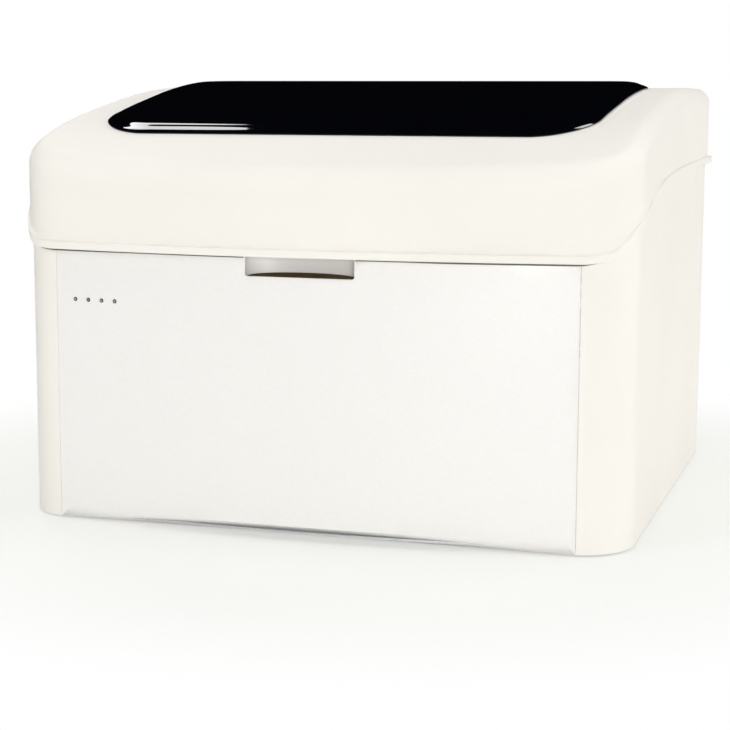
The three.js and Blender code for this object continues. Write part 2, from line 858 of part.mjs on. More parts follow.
function addChassis() {
  const band = 20;
  const postInset = 14;
  const bandHeight = 8;
  const bandTop = deckBottom - seatGap;
  const bandOutline = outline(-casingWall - fitGap);
  const ring = prism(bandOutline, bandTop - bandHeight, bandTop, [outline(-casingWall - band)]);
  const gate = box([-recessWidth, -frontBow - sweepOver, 0], [recessWidth, 0, deckTop]);
  const postSize = 18;
  const posts = [];
  for (const side of [-1, 1]) {
    for (const y of [frontCornerRadius, rearCornerY - postSize]) {
      const x = side * (halfWidth - casingWall - postInset);
      posts.push(box(
        [x - postSize / 2, y, baseTop + seatGap],
        [x + postSize / 2, y + postSize, bandTop - fitGap],
      ));
    }
  }
  add('chassis_frame', join(cut(ring, gate), ...posts), darkSteel);
}

// Worktop and the wells under it.

const carouselWell = carouselRadius + rotorGap;
const ringWell = ringOuter + rotorGap;

// Angle from pivot to where the arm's tip meets a ring. side picks one of the two crossings.
function meetAngle(pivot, centre, reach, radius, side) {
  const dx = centre[0] - pivot[0];
  const dy = centre[1] - pivot[1];
  const distance = Math.hypot(dx, dy);
  const share = (reach ** 2 + distance ** 2 - radius ** 2) / (2 * reach * distance);
  return Math.atan2(dy, dx) + side * Math.acos(share);
}

function polar(centre, radius, angle) {
  return [centre[0] + radius * Math.cos(angle), centre[1] + radius * Math.sin(angle)];
}

const probePivot = [probeX, probeY];
const carouselCentre = [carouselX, carouselY];
const ringCentre = [ringX, ringY];
const probeSampleAngle = meetAngle(probePivot, carouselCentre, probeReach, tubeRingRadius, 1);
const probeWellAngle = meetAngle(probePivot, ringCentre, probeReach, wellRingRadius, -1);
const sampleTip = polar(probePivot, probeReach, probeSampleAngle);
const wellTip = polar(probePivot, probeReach, probeWellAngle);
const tubePhase = Math.atan2(sampleTip[1] - carouselY, sampleTip[0] - carouselX);
const wellPhase = Math.atan2(wellTip[1] - ringY, wellTip[0] - ringX);
const wellPitch = (2 * Math.PI) / wellCount;
const mixerWell = polar(ringCentre, wellRingRadius, wellPhase + mixerWellStep * wellPitch);
const mixerReach = (mixerWell[0] - halfWidth + mixerFromSide) / Math.cos(mixerWorkAngle);
const mixerPivot = polar(mixerWell, -mixerReach, mixerWorkAngle);
const probePot = polar(probePivot, probeReach, probeRestAngle);
const mixerPot = polar(mixerPivot, mixerReach, mixerRestAngle);
const washAngle = wellPhase + washStep * wellPitch;
const washPost = polar(ringCentre, washPostBehind, washAngle);
const syringeFromSide = 100;
const syringeX = syringeFromSide - halfWidth;
const syringeY = 88;

function addWorktop() {
  const holes = [
    circle(...carouselCentre, carouselWell, largeSegments),
    circle(...ringCentre, ringWell, largeSegments),
    circle(...probePivot, columnRadius + sleeveWall + fitGap),
    circle(...mixerPivot, mixerColumnRadius + sleeveWall + fitGap),
    circle(...probePot, potRadius + fitGap),
    circle(...mixerPot, potRadius + fitGap),
  ];
  const plate = prism(outline(-casingWall - fitGap), deckBottom, deckTop, holes);
  const bay = recessWidth / 2 + recessWall + fitGap;
  const notch = box(
    [-bay, -frontBow - sweepOver, deckBottom - sweepOver],
    [bay, -frontBow + casingWall + recessDepth + 2 * recessWall + fitGap, deckTop + sweepOver],
  );
  add('worktop', cut(plate, notch), whitePlastic);
}

// A round tub hung under the deck, with a hole for the rotor's shaft.
function bath(radius, floor) {
  const top = deckBottom - seatGap;
  const hole = shaftRadius + shaftClearance;
  return turned([
    [hole, floor], [radius + bathWall, floor], [radius + bathWall, top - 2 * bathLip],
    [radius + bathWall + bathLip, top - bathLip], [radius + bathWall + bathLip, top], [radius, top],
    [radius, floor + bathFloor], [hole, floor + bathFloor], [hole, floor],
  ], largeSegments);
}

function motor(radius, top, length) {
  const collar = 6;
  return turned([
    [0, top - length], [radius - collar, top - length], [radius, top - length + collar],
    [radius, top - collar], [radius - collar, top - collar], [radius - collar, top], [0, top],
  ]);
}

const carouselBathFloor = carouselFloor - rotorGap - bathFloor;
const ringBathFloor = ringBottom - rotorGap - bathFloor;

function addBaths() {
  const motorLength = 70;
  const carouselMotor = 30;
  const ringMotor = 24;
  add('reagent_bath', bath(carouselWell, carouselBathFloor), steel, [...carouselCentre, 0]);
  add('reaction_bath', bath(ringWell, ringBathFloor), steel, [...ringCentre, 0]);
  for (const [name, radius, floor, centre] of [
    ['carousel_motor', carouselMotor, carouselBathFloor, carouselCentre],
    ['reaction_motor', ringMotor, ringBathFloor, ringCentre],
  ]) {
    add(name, motor(radius, floor - seatGap, motorLength), darkSteel, [...centre, 0]);
  }
}

// Outline of one wedge pocket, or of the bottle in it when grown inward.
function wedge(inset, middleAngle) {
  const steps = 3;
  const inner = pocketInner + inset;
  const outer = pocketOuter - inset;
  const points = [];
  for (const [radius, direction] of [[outer, 1], [inner, -1]]) {
    const half = pocketAngle / 2 - inset / radius;
    for (let i = 0; i <= steps; i += 1) {
      const angle = middleAngle + direction * half * ((2 * i) / steps - 1);
      points.push([radius * Math.cos(angle), radius * Math.sin(angle)]);
    }
  }
  return points;
}

function addCarousel() {
  const holes = [];
  for (let i = 0; i < tubeCount; i += 1) {
    const place = polar([0, 0], tubeRingRadius, tubePhase + (2 * Math.PI * i) / tubeCount);
    holes.push(circle(...place, tubeHole, smallSegments));
  }
  for (let i = 0; i < pocketCount; i += 1) {
    holes.push(wedge(0, (2 * Math.PI * i) / pocketCount));
  }
  const rim = circle(0, 0, carouselRadius, largeSegments);
  const plate = prism(rim, carouselTop - carouselPlate, carouselTop, holes);
  const hub = 22;
  const knob = 15;
  const knobRise = 42;
  const knobTop = carouselTop + knobRise;
  const knobRound = 4;
  const floorEdge = carouselRadius - carouselPlate;
  const floorTop = carouselFloor + carouselTray;
  const shaftEnd = carouselBathFloor + seatGap;
  const hubTop = carouselTop + carouselPlate;
  const core = turned([
    [0, shaftEnd], [shaftRadius, shaftEnd], [shaftRadius, carouselFloor], [floorEdge, carouselFloor],
    [floorEdge, floorTop], [hub, floorTop], [hub, hubTop], [knob - knobRound, hubTop + knobRound],
    [knob - knobRound, knobTop - 3 * knobRound], [knob, knobTop - 2 * knobRound],
    [knob, knobTop - knobRound / 2], [knob - knobRound, knobTop], [0, knobTop],
  ]);
  add('sample_carousel', join(core, plate), whitePlastic, [...carouselCentre, 0]);

  const neck = 11;
  const mouth = 1.9;
  const inset = 0.6;
  const neckAt = (pocketInner + pocketOuter) / 2;
  for (let i = 0; i < bottleCount; i += 1) {
    const angle = (2 * Math.PI * i) / bottleCount;
    const [x, y] = polar([0, 0], neckAt, angle);
    const body = prism(wedge(inset, angle), floorTop + seatGap, bottleShoulder);
    const throat = rod(neck, bottleShoulder - inset, bottleTop, smallSegments).translate(x, y, 0);
    const bore = rod(mouth, bottleShoulder - neck, bottleTop + sweepOver, smallSegments).translate(x, y, 0);
    add(`reagent_bottle_${i + 1}`, cut(join(body, throat), bore), amberPlastic, [...carouselCentre, 0]);
  }
}

function addReactionRing() {
  const hub = 24;
  const web = 3;
  const inner = wellRingRadius - ringBand / 2;
  const webTop = ringTop - 2 * web;
  const cap = 10;
  const body = turned([
    [0, ringBathFloor + seatGap], [shaftRadius, ringBathFloor + seatGap], [shaftRadius, ringBottom],
    [hub, ringBottom], [hub, webTop - web], [inner, webTop - web], [inner, ringBottom],
    [ringOuter, ringBottom], [ringOuter, ringTop], [inner, ringTop], [inner, webTop],
    [hub, webTop], [hub - web, ringTop + cap], [0, ringTop + cap],
  ], largeSegments);
  const halfLength = wellLength / 2;
  const halfWellWidth = wellWidth / 2;
  const wells = [];
  for (let i = 0; i < wellCount; i += 1) {
    wells.push(box(
      [wellRingRadius - halfLength, -halfWellWidth, wellFloor],
      [wellRingRadius + halfLength, halfWellWidth, ringTop + sweepOver],
    ).rotateZ(wellPhase + i * wellPitch));
  }
  add('reaction_ring', cut(body, ...wells), clearPlastic, [...ringCentre, 0]);
}

// Sleeve that guides a lifting column through the deck.
function sleeve(radius) {
  const bore = radius + fitGap;
  const outer = radius + sleeveWall;
  const seat = deckTop + seatGap;
  return turned([
    [bore, sleeveBottom], [outer, sleeveBottom], [outer, seat], [outer + flangeReach, seat],
    [outer + flangeReach, seat + flangeHeight], [outer, seat + flangeHeight],
    [outer, sleeveTop - flangeHeight], [outer - flangeHeight, sleeveTop], [bore, sleeveTop],
    [bore, sleeveBottom],
  ]);
}

// Arm body: a rounded bar with a thinner foot and a domed cover step.
function armBody(length, rootRadius, tipRadius, bottom, thickness) {
  const step = 2;
  const lower = prism(armOutline(length, rootRadius, tipRadius), bottom, bottom + thickness - step);
  const upper = prism(
    armOutline(length, rootRadius - step, tipRadius - step),
    bottom + thickness - 2 * step,
    bottom + thickness,
  );
  return join(lower, upper);
}

function addProbe() {
  const at = [...probePivot, 0];
  add('probe_sleeve', sleeve(columnRadius), darkSteel, at);
  add('probe_column', rod(columnRadius, columnFoot, armBottom - seatGap), steel, at);
  const arm = armBody(probeReach, armRootRadius, armTipRadius, armBottom, armThickness);
  add('probe_arm', arm, whitePlastic, at, probeRestAngle);
  const collar = 4.5;
  const collarHeight = 14;
  const top = armBottom - seatGap;
  const point = 3;
  const needle = turned([
    [0, probeTip], [needleRadius / 2, probeTip], [needleRadius, probeTip + point],
    [needleRadius, top - collarHeight], [collar, top - collarHeight + point], [collar, top], [0, top],
  ], smallSegments);
  add('probe_needle', needle.translate(probeReach, 0, 0), steel, at, probeRestAngle);
}

function addMixer() {
  const at = [...mixerPivot, 0];
  add('mixer_sleeve', sleeve(mixerColumnRadius), darkSteel, at);
  add('mixer_column', rod(mixerColumnRadius, columnFoot, mixerArmBottom - seatGap), steel, at);
  const body = armBody(mixerReach, mixerArmRoot, armTipRadius, mixerArmBottom, mixerArmThickness);
  const paddle = 1.4;
  const paddleHeight = 10;
  const stem = rod(needleRadius, mixerTip, mixerArmBottom + joinLap, smallSegments);
  const blade = box(
    [-paddle, -needleRadius / 2, mixerTip - needleRadius],
    [paddle, needleRadius / 2, mixerTip + paddleHeight],
  );
  const noseBottom = mixerArmBottom - paddleHeight;
  const nose = rod(armTipRadius / 2, noseBottom, mixerArmBottom + joinLap, smallSegments);
  const tool = join(stem, blade, nose).translate(mixerReach, 0, 0);
  add('mixer_arm', join(body, tool), whitePlastic, at, mixerRestAngle);
}

function pot() {
  const seat = deckTop + seatGap;
  const inner = potRadius - potWall;
  return turned([
    [0, deckTop - potDepth], [potRadius, deckTop - potDepth], [potRadius, seat],
    [potRadius + potWall, seat], [potRadius + potWall, seat + potWall], [potRadius, seat + potWall],
    [potRadius, deckTop + potStand], [inner, deckTop + potStand],
    [inner, deckTop - potDepth + potWall], [0, deckTop - potDepth + potWall],
  ], potSegments);
}

function addWashStation() {
  add('probe_wash_pot', pot(), whitePlastic, [...probePot, 0]);
  add('mixer_wash_pot', pot(), whitePlastic, [...mixerPot, 0]);

  // The post carries a rail, and the head slides on it with one needle for each washed well.
  const postHalf = 14;
  const postHeight = 120;
  const postTop = deckTop + postHeight;
  const seat = deckTop + seatGap;
  const footHeight = 6;
  const railHalf = 6;
  const railDepth = 6;
  const rail = box(
    [-postHalf - railDepth, -railHalf, seat + footHeight],
    [-postHalf + joinLap, railHalf, postTop - footHeight],
  );
  const post = join(
    box([-postHalf, -postHalf, seat], [postHalf, postHalf, postTop]),
    box([-washFoot, -washFoot, seat], [washFoot, washFoot, seat + footHeight]),
    rail,
  );
  add('wash_head_post', post, darkSteel, [...washPost, 0], washAngle);

  const headThickness = 16;
  const headHalfAngle = ((washNeedles - 1) / 2) * wellPitch + wellPitch / 2;
  const headBand = 9;
  const edge = (radius) => arc(0, 0, radius, -headHalfAngle, headHalfAngle, smallSegments);
  const band = [...edge(wellRingRadius + headBand), ...edge(wellRingRadius - headBand).reverse()];
  const plate = prism(band, washHeadBottom, washHeadBottom + headThickness)
    .rotateZ(quarterTurn);
  const carriageHalf = 15;
  const carriageHeight = 34;
  const reachOut = washPostBehind - postHalf - seatGap;
  const slotHalf = railHalf + fitGap;
  const carriage = cut(
    box(
      [wellRingRadius, -carriageHalf, washHeadBottom],
      [reachOut, carriageHalf, washHeadBottom + carriageHeight],
    ),
    box(
      [reachOut - railDepth - fitGap, -slotHalf, washHeadBottom - sweepOver],
      [reachOut + sweepOver, slotHalf, washHeadBottom + carriageHeight + sweepOver],
    ),
  );
  const needles = [];
  const washNeedle = 0.9;
  for (let i = 0; i < washNeedles; i += 1) {
    const angle = (i - (washNeedles - 1) / 2) * wellPitch;
    const [x, y] = polar([0, 0], wellRingRadius, angle);
    needles.push(rod(washNeedle, washTip, washHeadBottom + joinLap, smallSegments).translate(x, y, 0));
  }
  add('wash_head', join(plate, carriage, ...needles), whitePlastic, [...ringCentre, 0], washAngle);
}

// Syringe pump on the front left of the deck.
const syringeSeat = deckTop + seatGap;
const barrelBore = 6;
const barrelWall = 2;
const barrelRise = 45;
const barrelLength = 40;
const barrelBottom = deckTop + barrelRise;
const barrelTop = barrelBottom + barrelLength;

function addSyringe() {
  const plateHalf = 24;
  const plateDepth = 8;
  const barrelFromPlate = 17;
  const topHeight = 16;
  const baseHeight = 6;
  const baseDepth = 34;
  const tube = pipe(barrelBore, barrelBore + barrelWall, barrelBottom, barrelTop + joinLap)
    .translate(0, -barrelFromPlate, 0);
  const headHalf = plateHalf * 0.8;
  const body = join(
    box([-plateHalf, 0, syringeSeat], [plateHalf, plateDepth, barrelTop + topHeight]),
    box([-plateHalf, plateDepth - baseDepth, syringeSeat], [plateHalf, plateDepth, syringeSeat + baseHeight]),
    box(
      [-headHalf, plateDepth - baseDepth, barrelTop],
      [headHalf, plateDepth / 2, barrelTop + topHeight],
    ),
    tube,
  );
  add('syringe_body', body, whitePlastic, [syringeX, syringeY, 0]);
  const clearance = 0.3;
  const flange = 11;
  const flangeThickness = 5;
  const flangeTop = barrelBottom - clearance;
  const pistonTop = barrelTop - clearance;
  const plunger = turned([
    [0, flangeTop - flangeThickness], [flange, flangeTop - flangeThickness], [flange, flangeTop],
    [barrelBore - clearance, flangeTop], [barrelBore - clearance, pistonTop], [0, pistonTop],
  ]).translate(0, -barrelFromPlate, 0);
  add('syringe_plunger', plunger, steel, [syringeX, syringeY, 0]);
}

// Electronics, supply, pump and photometer under the deck.
function addInternals() {
  const floor = baseTop + seatGap;

  const supplyWidth = 150;
  const supplyDepth = 190;
  const supplyHeight = 60;
  const supplyFromSide = 260;
  const supplyFromRear = 228;
  const supplyAt = [halfWidth - supplyFromSide, bodyDepth - supplyFromRear];
  const supply = box(
    [supplyAt[0], supplyAt[1], floor],
    [supplyAt[0] + supplyWidth, supplyAt[1] + supplyDepth, floor + supplyHeight],
  );
  add('power_supply', supply, steel);

  const boardWidth = 230;
  const boardThickness = 1.8;
  const boardHeight = 150;
  const boardFromSide = 30;
  const boardFromRear = 68;
  const boardLow = [boardFromSide - halfWidth, bodyDepth - boardFromRear, floor];
  const boardHigh = [
    boardLow[0] + boardWidth,
    boardLow[1] + boardThickness,
    boardLow[2] + boardHeight,
  ];
  const chips = [];
  const chipPitch = 52;
  const chipSize = 30;
  const chipThickness = 5;
  const chipColumns = 4;
  const chipRows = 2;
  for (let column = 0; column < chipColumns; column += 1) {
    for (let row = 0; row < chipRows; row += 1) {
      const x = boardLow[0] + chipSize / 2 + column * chipPitch;
      const z = boardLow[2] + chipSize + row * chipPitch;
      chips.push(box(
        [x, boardLow[1] - chipThickness, z],
        [x + chipSize, boardLow[1] + joinLap, z + chipSize],
      ));
    }
  }
  const footDepth = 14;
  const footThickness = 2;
  const shelf = box(boardLow, [boardHigh[0], boardLow[1] + footDepth, floor + footThickness]);
  add('control_board', join(box(boardLow, boardHigh), shelf, ...chips), boardGreen);

  const pumpRadius = 26;
  const pumpLength = 110;
  const pumpFromSide = 120;
  const pumpFromFront = 90;
  const pumpAt = [pumpFromSide - halfWidth, pumpFromFront];
  const cradle = 8;
  const body = cylinder(pumpRadius, pumpLength, roundSegments)
    .translate(pumpAt[0], pumpAt[1], floor + cradle + pumpRadius);
  const foot = box(
    [pumpAt[0] - pumpRadius, pumpAt[1] - pumpLength / 3, floor],
    [pumpAt[0] + pumpRadius, pumpAt[1] + pumpLength / 3, floor + 2 * cradle],
  );
  add('wash_pump', join(body, foot), darkSteel);

  const meterWidth = 70;
  const meterDepth = 60;
  const meterHeight = 42;
  const meterAside = 36;
  const lens = 9;
  const lensReach = 12;
  const meterRight = ringX - meterAside;
  const meterRear = ringY - ringWell - bathWall - lensReach - joinLap;
  const meterTop = deckBottom - seatGap;
  const snout = cylinder(lens, lensReach + joinLap)
    .translate(meterRight - lens * 1.5, meterRear + (lensReach - joinLap) / 2, meterTop - meterHeight / 2);
  const meterBody = box(
    [meterRight - meterWidth, meterRear - meterDepth, meterTop - meterHeight],
    [meterRight, meterRear, meterTop],
  );
  add('photometer', join(meterBody, snout), blackPlastic);
}

// Lid.

function addLidShell() {
  const flat = (offset) => outline(offset);
  const lipShare = (y) => 1 - smoothCurve([[0, 0], [1, 1]], (y - rearCornerY) / rearCornerRadius);
  const lip = (out) => {
    const inner = flat(lidOuter);
    const outer = flat(out);
    return inner.map(([x, y], i) => {
      const share = lipShare(inner[i][1]);
      const leastShare = 0.04;
      const keep = leastShare + (1 - leastShare) * share;
      return [x + (outer[i][0] - x) * keep, y + (outer[i][1] - y) * keep];
    });
  };
  const line = flat(0).map(([, y]) => lidLine(y));
  const opening = windowOutline(windowLap);
  const rows = [];
  const addRow = (points, height) => rows.push(points.map(([x, y], i) => [x, y, height(y, i)]));
  const top = (y) => lidTop(y);
  addRow(lip(lipReach - lipRound), (y, i) => line[i]);
  addRow(lip(lipReach), (y, i) => line[i] + lipRound);
  addRow(lip(lipReach), (y, i) => line[i] + lipHeight - lipRound);
  addRow(lip(lipReach - lipRound), (y, i) => line[i] + lipHeight);
  addRow(lip(lidOuter + lipRound), (y, i) => line[i] + lipHeight);
  addRow(flat(lidOuter), (y, i) => line[i] + lipHeight + lipFlare);
  const roundSteps = 3;
  for (let k = 0; k <= roundSteps; k += 1) {
    const angle = (quarterTurn * k) / roundSteps;
    const inset = lidEdgeRadius * (1 - Math.cos(angle));
    const drop = lidEdgeRadius * (1 - Math.sin(angle));
    addRow(flat(lidOuter - inset), (y) => top(y) - drop);
  }
  const shoulder = flat(lidOuter - lidEdgeRadius);
  const between = (share) => shoulder.map(([x, y], i) => [
    x + (opening[i][0] - x) * share, y + (opening[i][1] - y) * share,
  ]);
  addRow(between(0.5), top);
  addRow(opening, top);
  addRow(opening, (y) => top(y) - lidWall);
  addRow(between(0.5), (y) => top(y) - lidWall);
  addRow(shoulder, (y) => top(y) - lidWall);
  addRow(flat(lidClearance), (y) => top(y) - lidEdgeRadius);
  addRow(flat(lidClearance), (y, i) => line[i]);
  const rings = rows[0].map((point, i) => rows.map((row) => row[i]));
  add('lid_shell', skin(rings, null), cream);
}

function addWindow() {
  const loops = [];
  const addLoop = (points, height) => loops.push(points.map(([x, y]) => [x, y, height(y)]));
  const face = (y) => lidTop(y) + windowRise;
  const under = (y) => lidTop(y) + seatGap;
  const back = (y) => lidTop(y) + windowRise - windowThickness;
  const inner = windowOutline(windowLap + 2 * seatGap);
  const toward = (points, share) => {
    const middle = (windowFrontY + windowRearY) / 2;
    return points.map(([x, y]) => [x * share, middle + (y - middle) * share]);
  };
  const fillShares = [0.45];
  for (const share of fillShares) addLoop(toward(inner, share), back);
  addLoop(inner, back);
  addLoop(inner, under);
  addLoop(windowOutline(seatGap), under);
  const edgeShares = [[0, 0.12], [0.5, 0.56], [0.85, 0.88], [1.2, 1]];
  for (const [inset, rise] of edgeShares) {
    const height = (y) => lidTop(y) + seatGap + (windowRise - seatGap) * rise;
    addLoop(windowOutline(inset * windowBevel), height);
  }
  const crown = windowOutline(edgeShares[edgeShares.length - 1][0] * windowBevel);
  for (const share of [...fillShares].reverse()) addLoop(toward(crown, share), face);
  add('lid_window', skin(loops, fanCaps), gloss);
}

// Cross member inside the front of the lid, which keeps the wide shell stiff.
function addStiffener() {
  const endRoom = 80;
  const half = halfWidth - endRoom;
  const steps = 8;
  const depth = 14;
  const height = 16;
  const bottom = lidLineFront + lipHeight + lipFlare;
  const angle = Math.asin(half / bowRadius);
  const radius = bowRadius + lidClearance - seatGap;
  const outer = arc(0, bowCentreY, radius, -angle, angle, steps);
  const inner = arc(0, bowCentreY, radius - depth, -angle, angle, steps).reverse();
  add('lid_stiffener', prism([...outer, ...inner], bottom, bottom + height), darkSteel);
}

// Hinges: body leaf with two outer barrels, lid leaf with the middle barrel, and a pin.
const pivotY = bodyDepth + hingePivotBehind;

function barrel(from, to) {
  const tube = pipe(hingePin + seatGap, hingeBarrel, from, to, smallSegments);
  return tube.rotateY(quarterTurn).translate(0, pivotY, hingePivotHeight);
}

function addHinges() {
  const third = hingeLeafLength / 3;
  const half = hingeLeafLength / 2;
  const knuckleGap = 0.4;
  const crosswise = (radius, length) => cylinder(radius, length)
    .rotateZ(quarterTurn).translate(0, pivotY, hingePivotHeight);
  const core = crosswise(hingePin + seatGap, hingeLeafLength * 2);
  const bodyFace = bodyDepth + seatGap;
  const lidFace = bodyDepth + lidOuter + seatGap;
  const lidRelief = hingeBarrel + knuckleGap;
  const bodyPlate = box(
    [-half, bodyFace, hingePivotHeight - hingeLeafHeight],
    [half, bodyFace + hingeLeafThickness, hingePivotHeight],
  );
  const middle = crosswise(lidRelief, third + 2 * knuckleGap);
  const bodyLeaf = cut(
    join(bodyPlate, barrel(-half, -third / 2 - knuckleGap), barrel(third / 2 + knuckleGap, half)),
    core,
    middle,
  );
  const lidPlate = box(
    [-half, lidFace, hingePivotHeight + lidRelief],
    [half, lidFace + hingeLeafThickness, hingePivotHeight + hingeLeafHeight],
  );
  const neck = box(
    [-third / 2, lidFace, hingePivotHeight],
    [third / 2, lidFace + hingeLeafThickness, hingePivotHeight + hingeLeafHeight / 2],
  );
  const lidLeaf = cut(join(lidPlate, neck, barrel(-third / 2, third / 2)), core);
  const pin = crosswise(hingePin, hingeLeafLength);
  for (const [sideName, side] of [['left', -1], ['right', 1]]) {
    const at = [side * hingeFromMiddle, 0, 0];
    add(`hinge_body_leaf_${sideName}`, bodyLeaf, steel, at);
    add(`hinge_lid_leaf_${sideName}`, lidLeaf, steel, at);
    add(`hinge_pin_${sideName}`, pin, steel, at);
  }
}

// Gas stay: a cylinder on a stud of the casing, and a rod that ends at a stud of the lid.
function addStay() {
  const dy = stayLidY - stayBodyY;
  const dz = stayLidHeight - stayBodyHeight;
  const length = Math.hypot(dy, dz);
  const lean = Math.atan2(dz, dy);
  const studStart = stayFromMiddle + stayEye + seatGap;
  const plateThickness = 3;
  const plateHalf = 14;
  const along = (geometry) => geometry.rotateX(lean).translate(stayFromMiddle, stayBodyY, stayBodyHeight);
  const depthwise = (radius, from, to) => cylinder(radius, to - from).translate(0, (from + to) / 2, 0);
  const eye = () => cylinder(stayEye, stayEye * 2).rotateZ(quarterTurn);
  const eyeLap = 3;
  const cylinderShare = 0.86;
  const rodShare = 0.18;
  const cylinderEnd = length * cylinderShare;
  const rodStart = cylinderEnd * rodShare;
  const boreGap = 0.4;
  const cylinderBody = cut(
    join(
      eye(),
      depthwise(stayRodRadius, 0, stayEye * 2),
      depthwise(stayRadius, stayEye + eyeLap, cylinderEnd),
    ),
    depthwise(stayRodRadius + boreGap, rodStart - boreGap, cylinderEnd + sweepOver),
  );
  add('stay_cylinder', along(cylinderBody), blackPlastic);
  const rodBody = join(depthwise(stayRodRadius, rodStart, length), eye().translate(0, length, 0));
  add('stay_rod', along(rodBody), steel);

  const stud = (y, z, wall) => join(
    cylinder(stayStud, wall - studStart)
      .rotateZ(quarterTurn).translate((wall + studStart) / 2, y, z),
    box([wall - plateThickness, y - plateHalf, z - plateHalf / 2], [wall, y + plateHalf, z + plateHalf]),
  );
  add('stay_bracket_body', stud(stayBodyY, stayBodyHeight, halfWidth - casingWall - seatGap), darkSteel);
  add('stay_bracket_lid', stud(stayLidY, stayLidHeight, halfWidth + lidClearance - seatGap), darkSteel);
}

addBase();
addFront();
addSides();
addRear();
addPowerEntry();
addPorts();
addFan();
addChassis();
addWorktop();
addBaths();
addCarousel();
addReactionRing();
addProbe();
addMixer();
addWashStation();
addSyringe();
addInternals();
addLidShell();
addWindow();
addStiffener();
addHinges();
addStay();

// The origin lies under the middle of the whole machine.
machine.position.y = (frontBow + lipReach - bodyDepth - portReach) / 2;

export default group;
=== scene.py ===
"""Bench-top biochemistry analyzer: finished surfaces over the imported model, and its studio."""

import json
import math

import bpy
import numpy as np
from mathutils import Matrix, Vector
from mathutils.geometry import delaunay_2d_cdt


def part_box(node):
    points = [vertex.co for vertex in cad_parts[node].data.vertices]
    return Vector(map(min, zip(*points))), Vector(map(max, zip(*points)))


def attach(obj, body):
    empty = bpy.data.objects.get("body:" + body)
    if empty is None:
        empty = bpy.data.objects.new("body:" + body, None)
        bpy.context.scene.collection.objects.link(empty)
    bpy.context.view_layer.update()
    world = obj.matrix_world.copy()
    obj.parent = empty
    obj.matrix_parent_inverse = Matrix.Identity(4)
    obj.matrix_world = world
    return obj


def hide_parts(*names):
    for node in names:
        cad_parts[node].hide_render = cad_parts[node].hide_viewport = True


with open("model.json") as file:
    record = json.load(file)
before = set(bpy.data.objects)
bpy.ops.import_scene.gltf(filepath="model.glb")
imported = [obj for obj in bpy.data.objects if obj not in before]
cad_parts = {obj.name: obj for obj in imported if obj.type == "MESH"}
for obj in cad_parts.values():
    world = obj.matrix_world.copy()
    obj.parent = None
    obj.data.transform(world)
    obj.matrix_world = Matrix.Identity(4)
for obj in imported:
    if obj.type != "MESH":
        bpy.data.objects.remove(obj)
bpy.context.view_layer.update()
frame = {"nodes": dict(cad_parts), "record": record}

bl_info = {
    "name": "Biochemistry Analyzer",
    "version": (1, 0, 0),
    "blender": (4, 5, 0),
    "location": "3D View > Sidebar > Analyzer",
    "description": "Bowed casing, lid with dark window and sampling deck of a bench analyzer",
    "category": "Add Mesh",
}

MM = 0.001
QUARTER = math.pi / 2


# Sizes and colours that a user would change.

def length(name, millimetres, description):
    return bpy.props.FloatProperty(name=name, description=description, default=millimetres * MM,
                                   min=0, precision=4, unit="LENGTH")


def colour(name, default, description):
    return bpy.props.FloatVectorProperty(
        name=name, description=description, default=default, size=3, min=0, max=1, subtype="COLOR")


def number(name, default, description):
    return bpy.props.FloatProperty(name=name, description=description, default=default, min=0)


class CasingSizes(bpy.types.PropertyGroup):
    """Sizes of the casing and its front."""

    width: length("Width", 700, "Casing width between the side panels' faces")
    depth: length("Depth", 628, "Casing depth from the ends of the bow to the rear")
    bow: length("Bow", 38, "How far the front bows out in the middle")
    front_corner: length("Front corner", 64, "Radius of the front corners seen from above")
    rear_corner: length("Rear corner", 24, "Radius of the rear corners seen from above")
    wall: length("Wall", 3, "Thickness of the panels")
    skirt: length("Skirt gap", 2, "Gap between the panels and the bench")
    seam: length("Seam", 0.2, "Gap between the front panel and the side panels")
    edge: length("Edge round", 0.5, "Rounding of the panels' edges")
    recess_width: length("Recess width", 123, "Width of the finger recess")
    recess_height: length("Recess height", 21, "Height of the finger recess under the lid")
    recess_depth: length("Recess depth", 24, "Depth of the finger recess")
    lamp_pitch: length("Lamp pitch", 17.2, "Distance between two indicator lamps")
    lamp_radius: length("Lamp radius", 2.1, "Radius of an indicator lamp")


class LidSizes(bpy.types.PropertyGroup):
    """Sizes of the lid and its window."""

    line: length("Lower edge", 309, "Height of the lid's lower edge at the front")
    climb: length("Climb", 85, "How far the lower edge climbs to the rear")
    front_height: length("Front height", 87, "Height of the lid at its front")
    rear_height: length("Rear height", 97, "Height of the lid at its rear")
    lip_reach: length("Lip reach", 9, "How far the lip stands out from the casing")
    lip_height: length("Lip height", 8.5, "Height of the lip")
    edge_radius: length("Edge radius", 20, "Rounding of the lid's upper edge")
    window_width: length("Window width", 606, "Width of the window at its rear")
    window_taper: length("Window taper", 28, "How much narrower the window's front is")
    window_front: length("Window front", 60, "Front edge of the window, from the bow's ends")
    window_rear: length("Window rear", 442, "Rear edge of the window, from the bow's ends")
    window_corner: length("Window corner", 72, "Radius of the window's front corners")
    window_rear_corner: length("Window rear corner", 46, "Radius of its rear corners")
    window_bevel: length("Window bevel", 17, "Width of the window's rounded border")
    window_rise: length("Window rise", 9, "Height of the window over the lid")


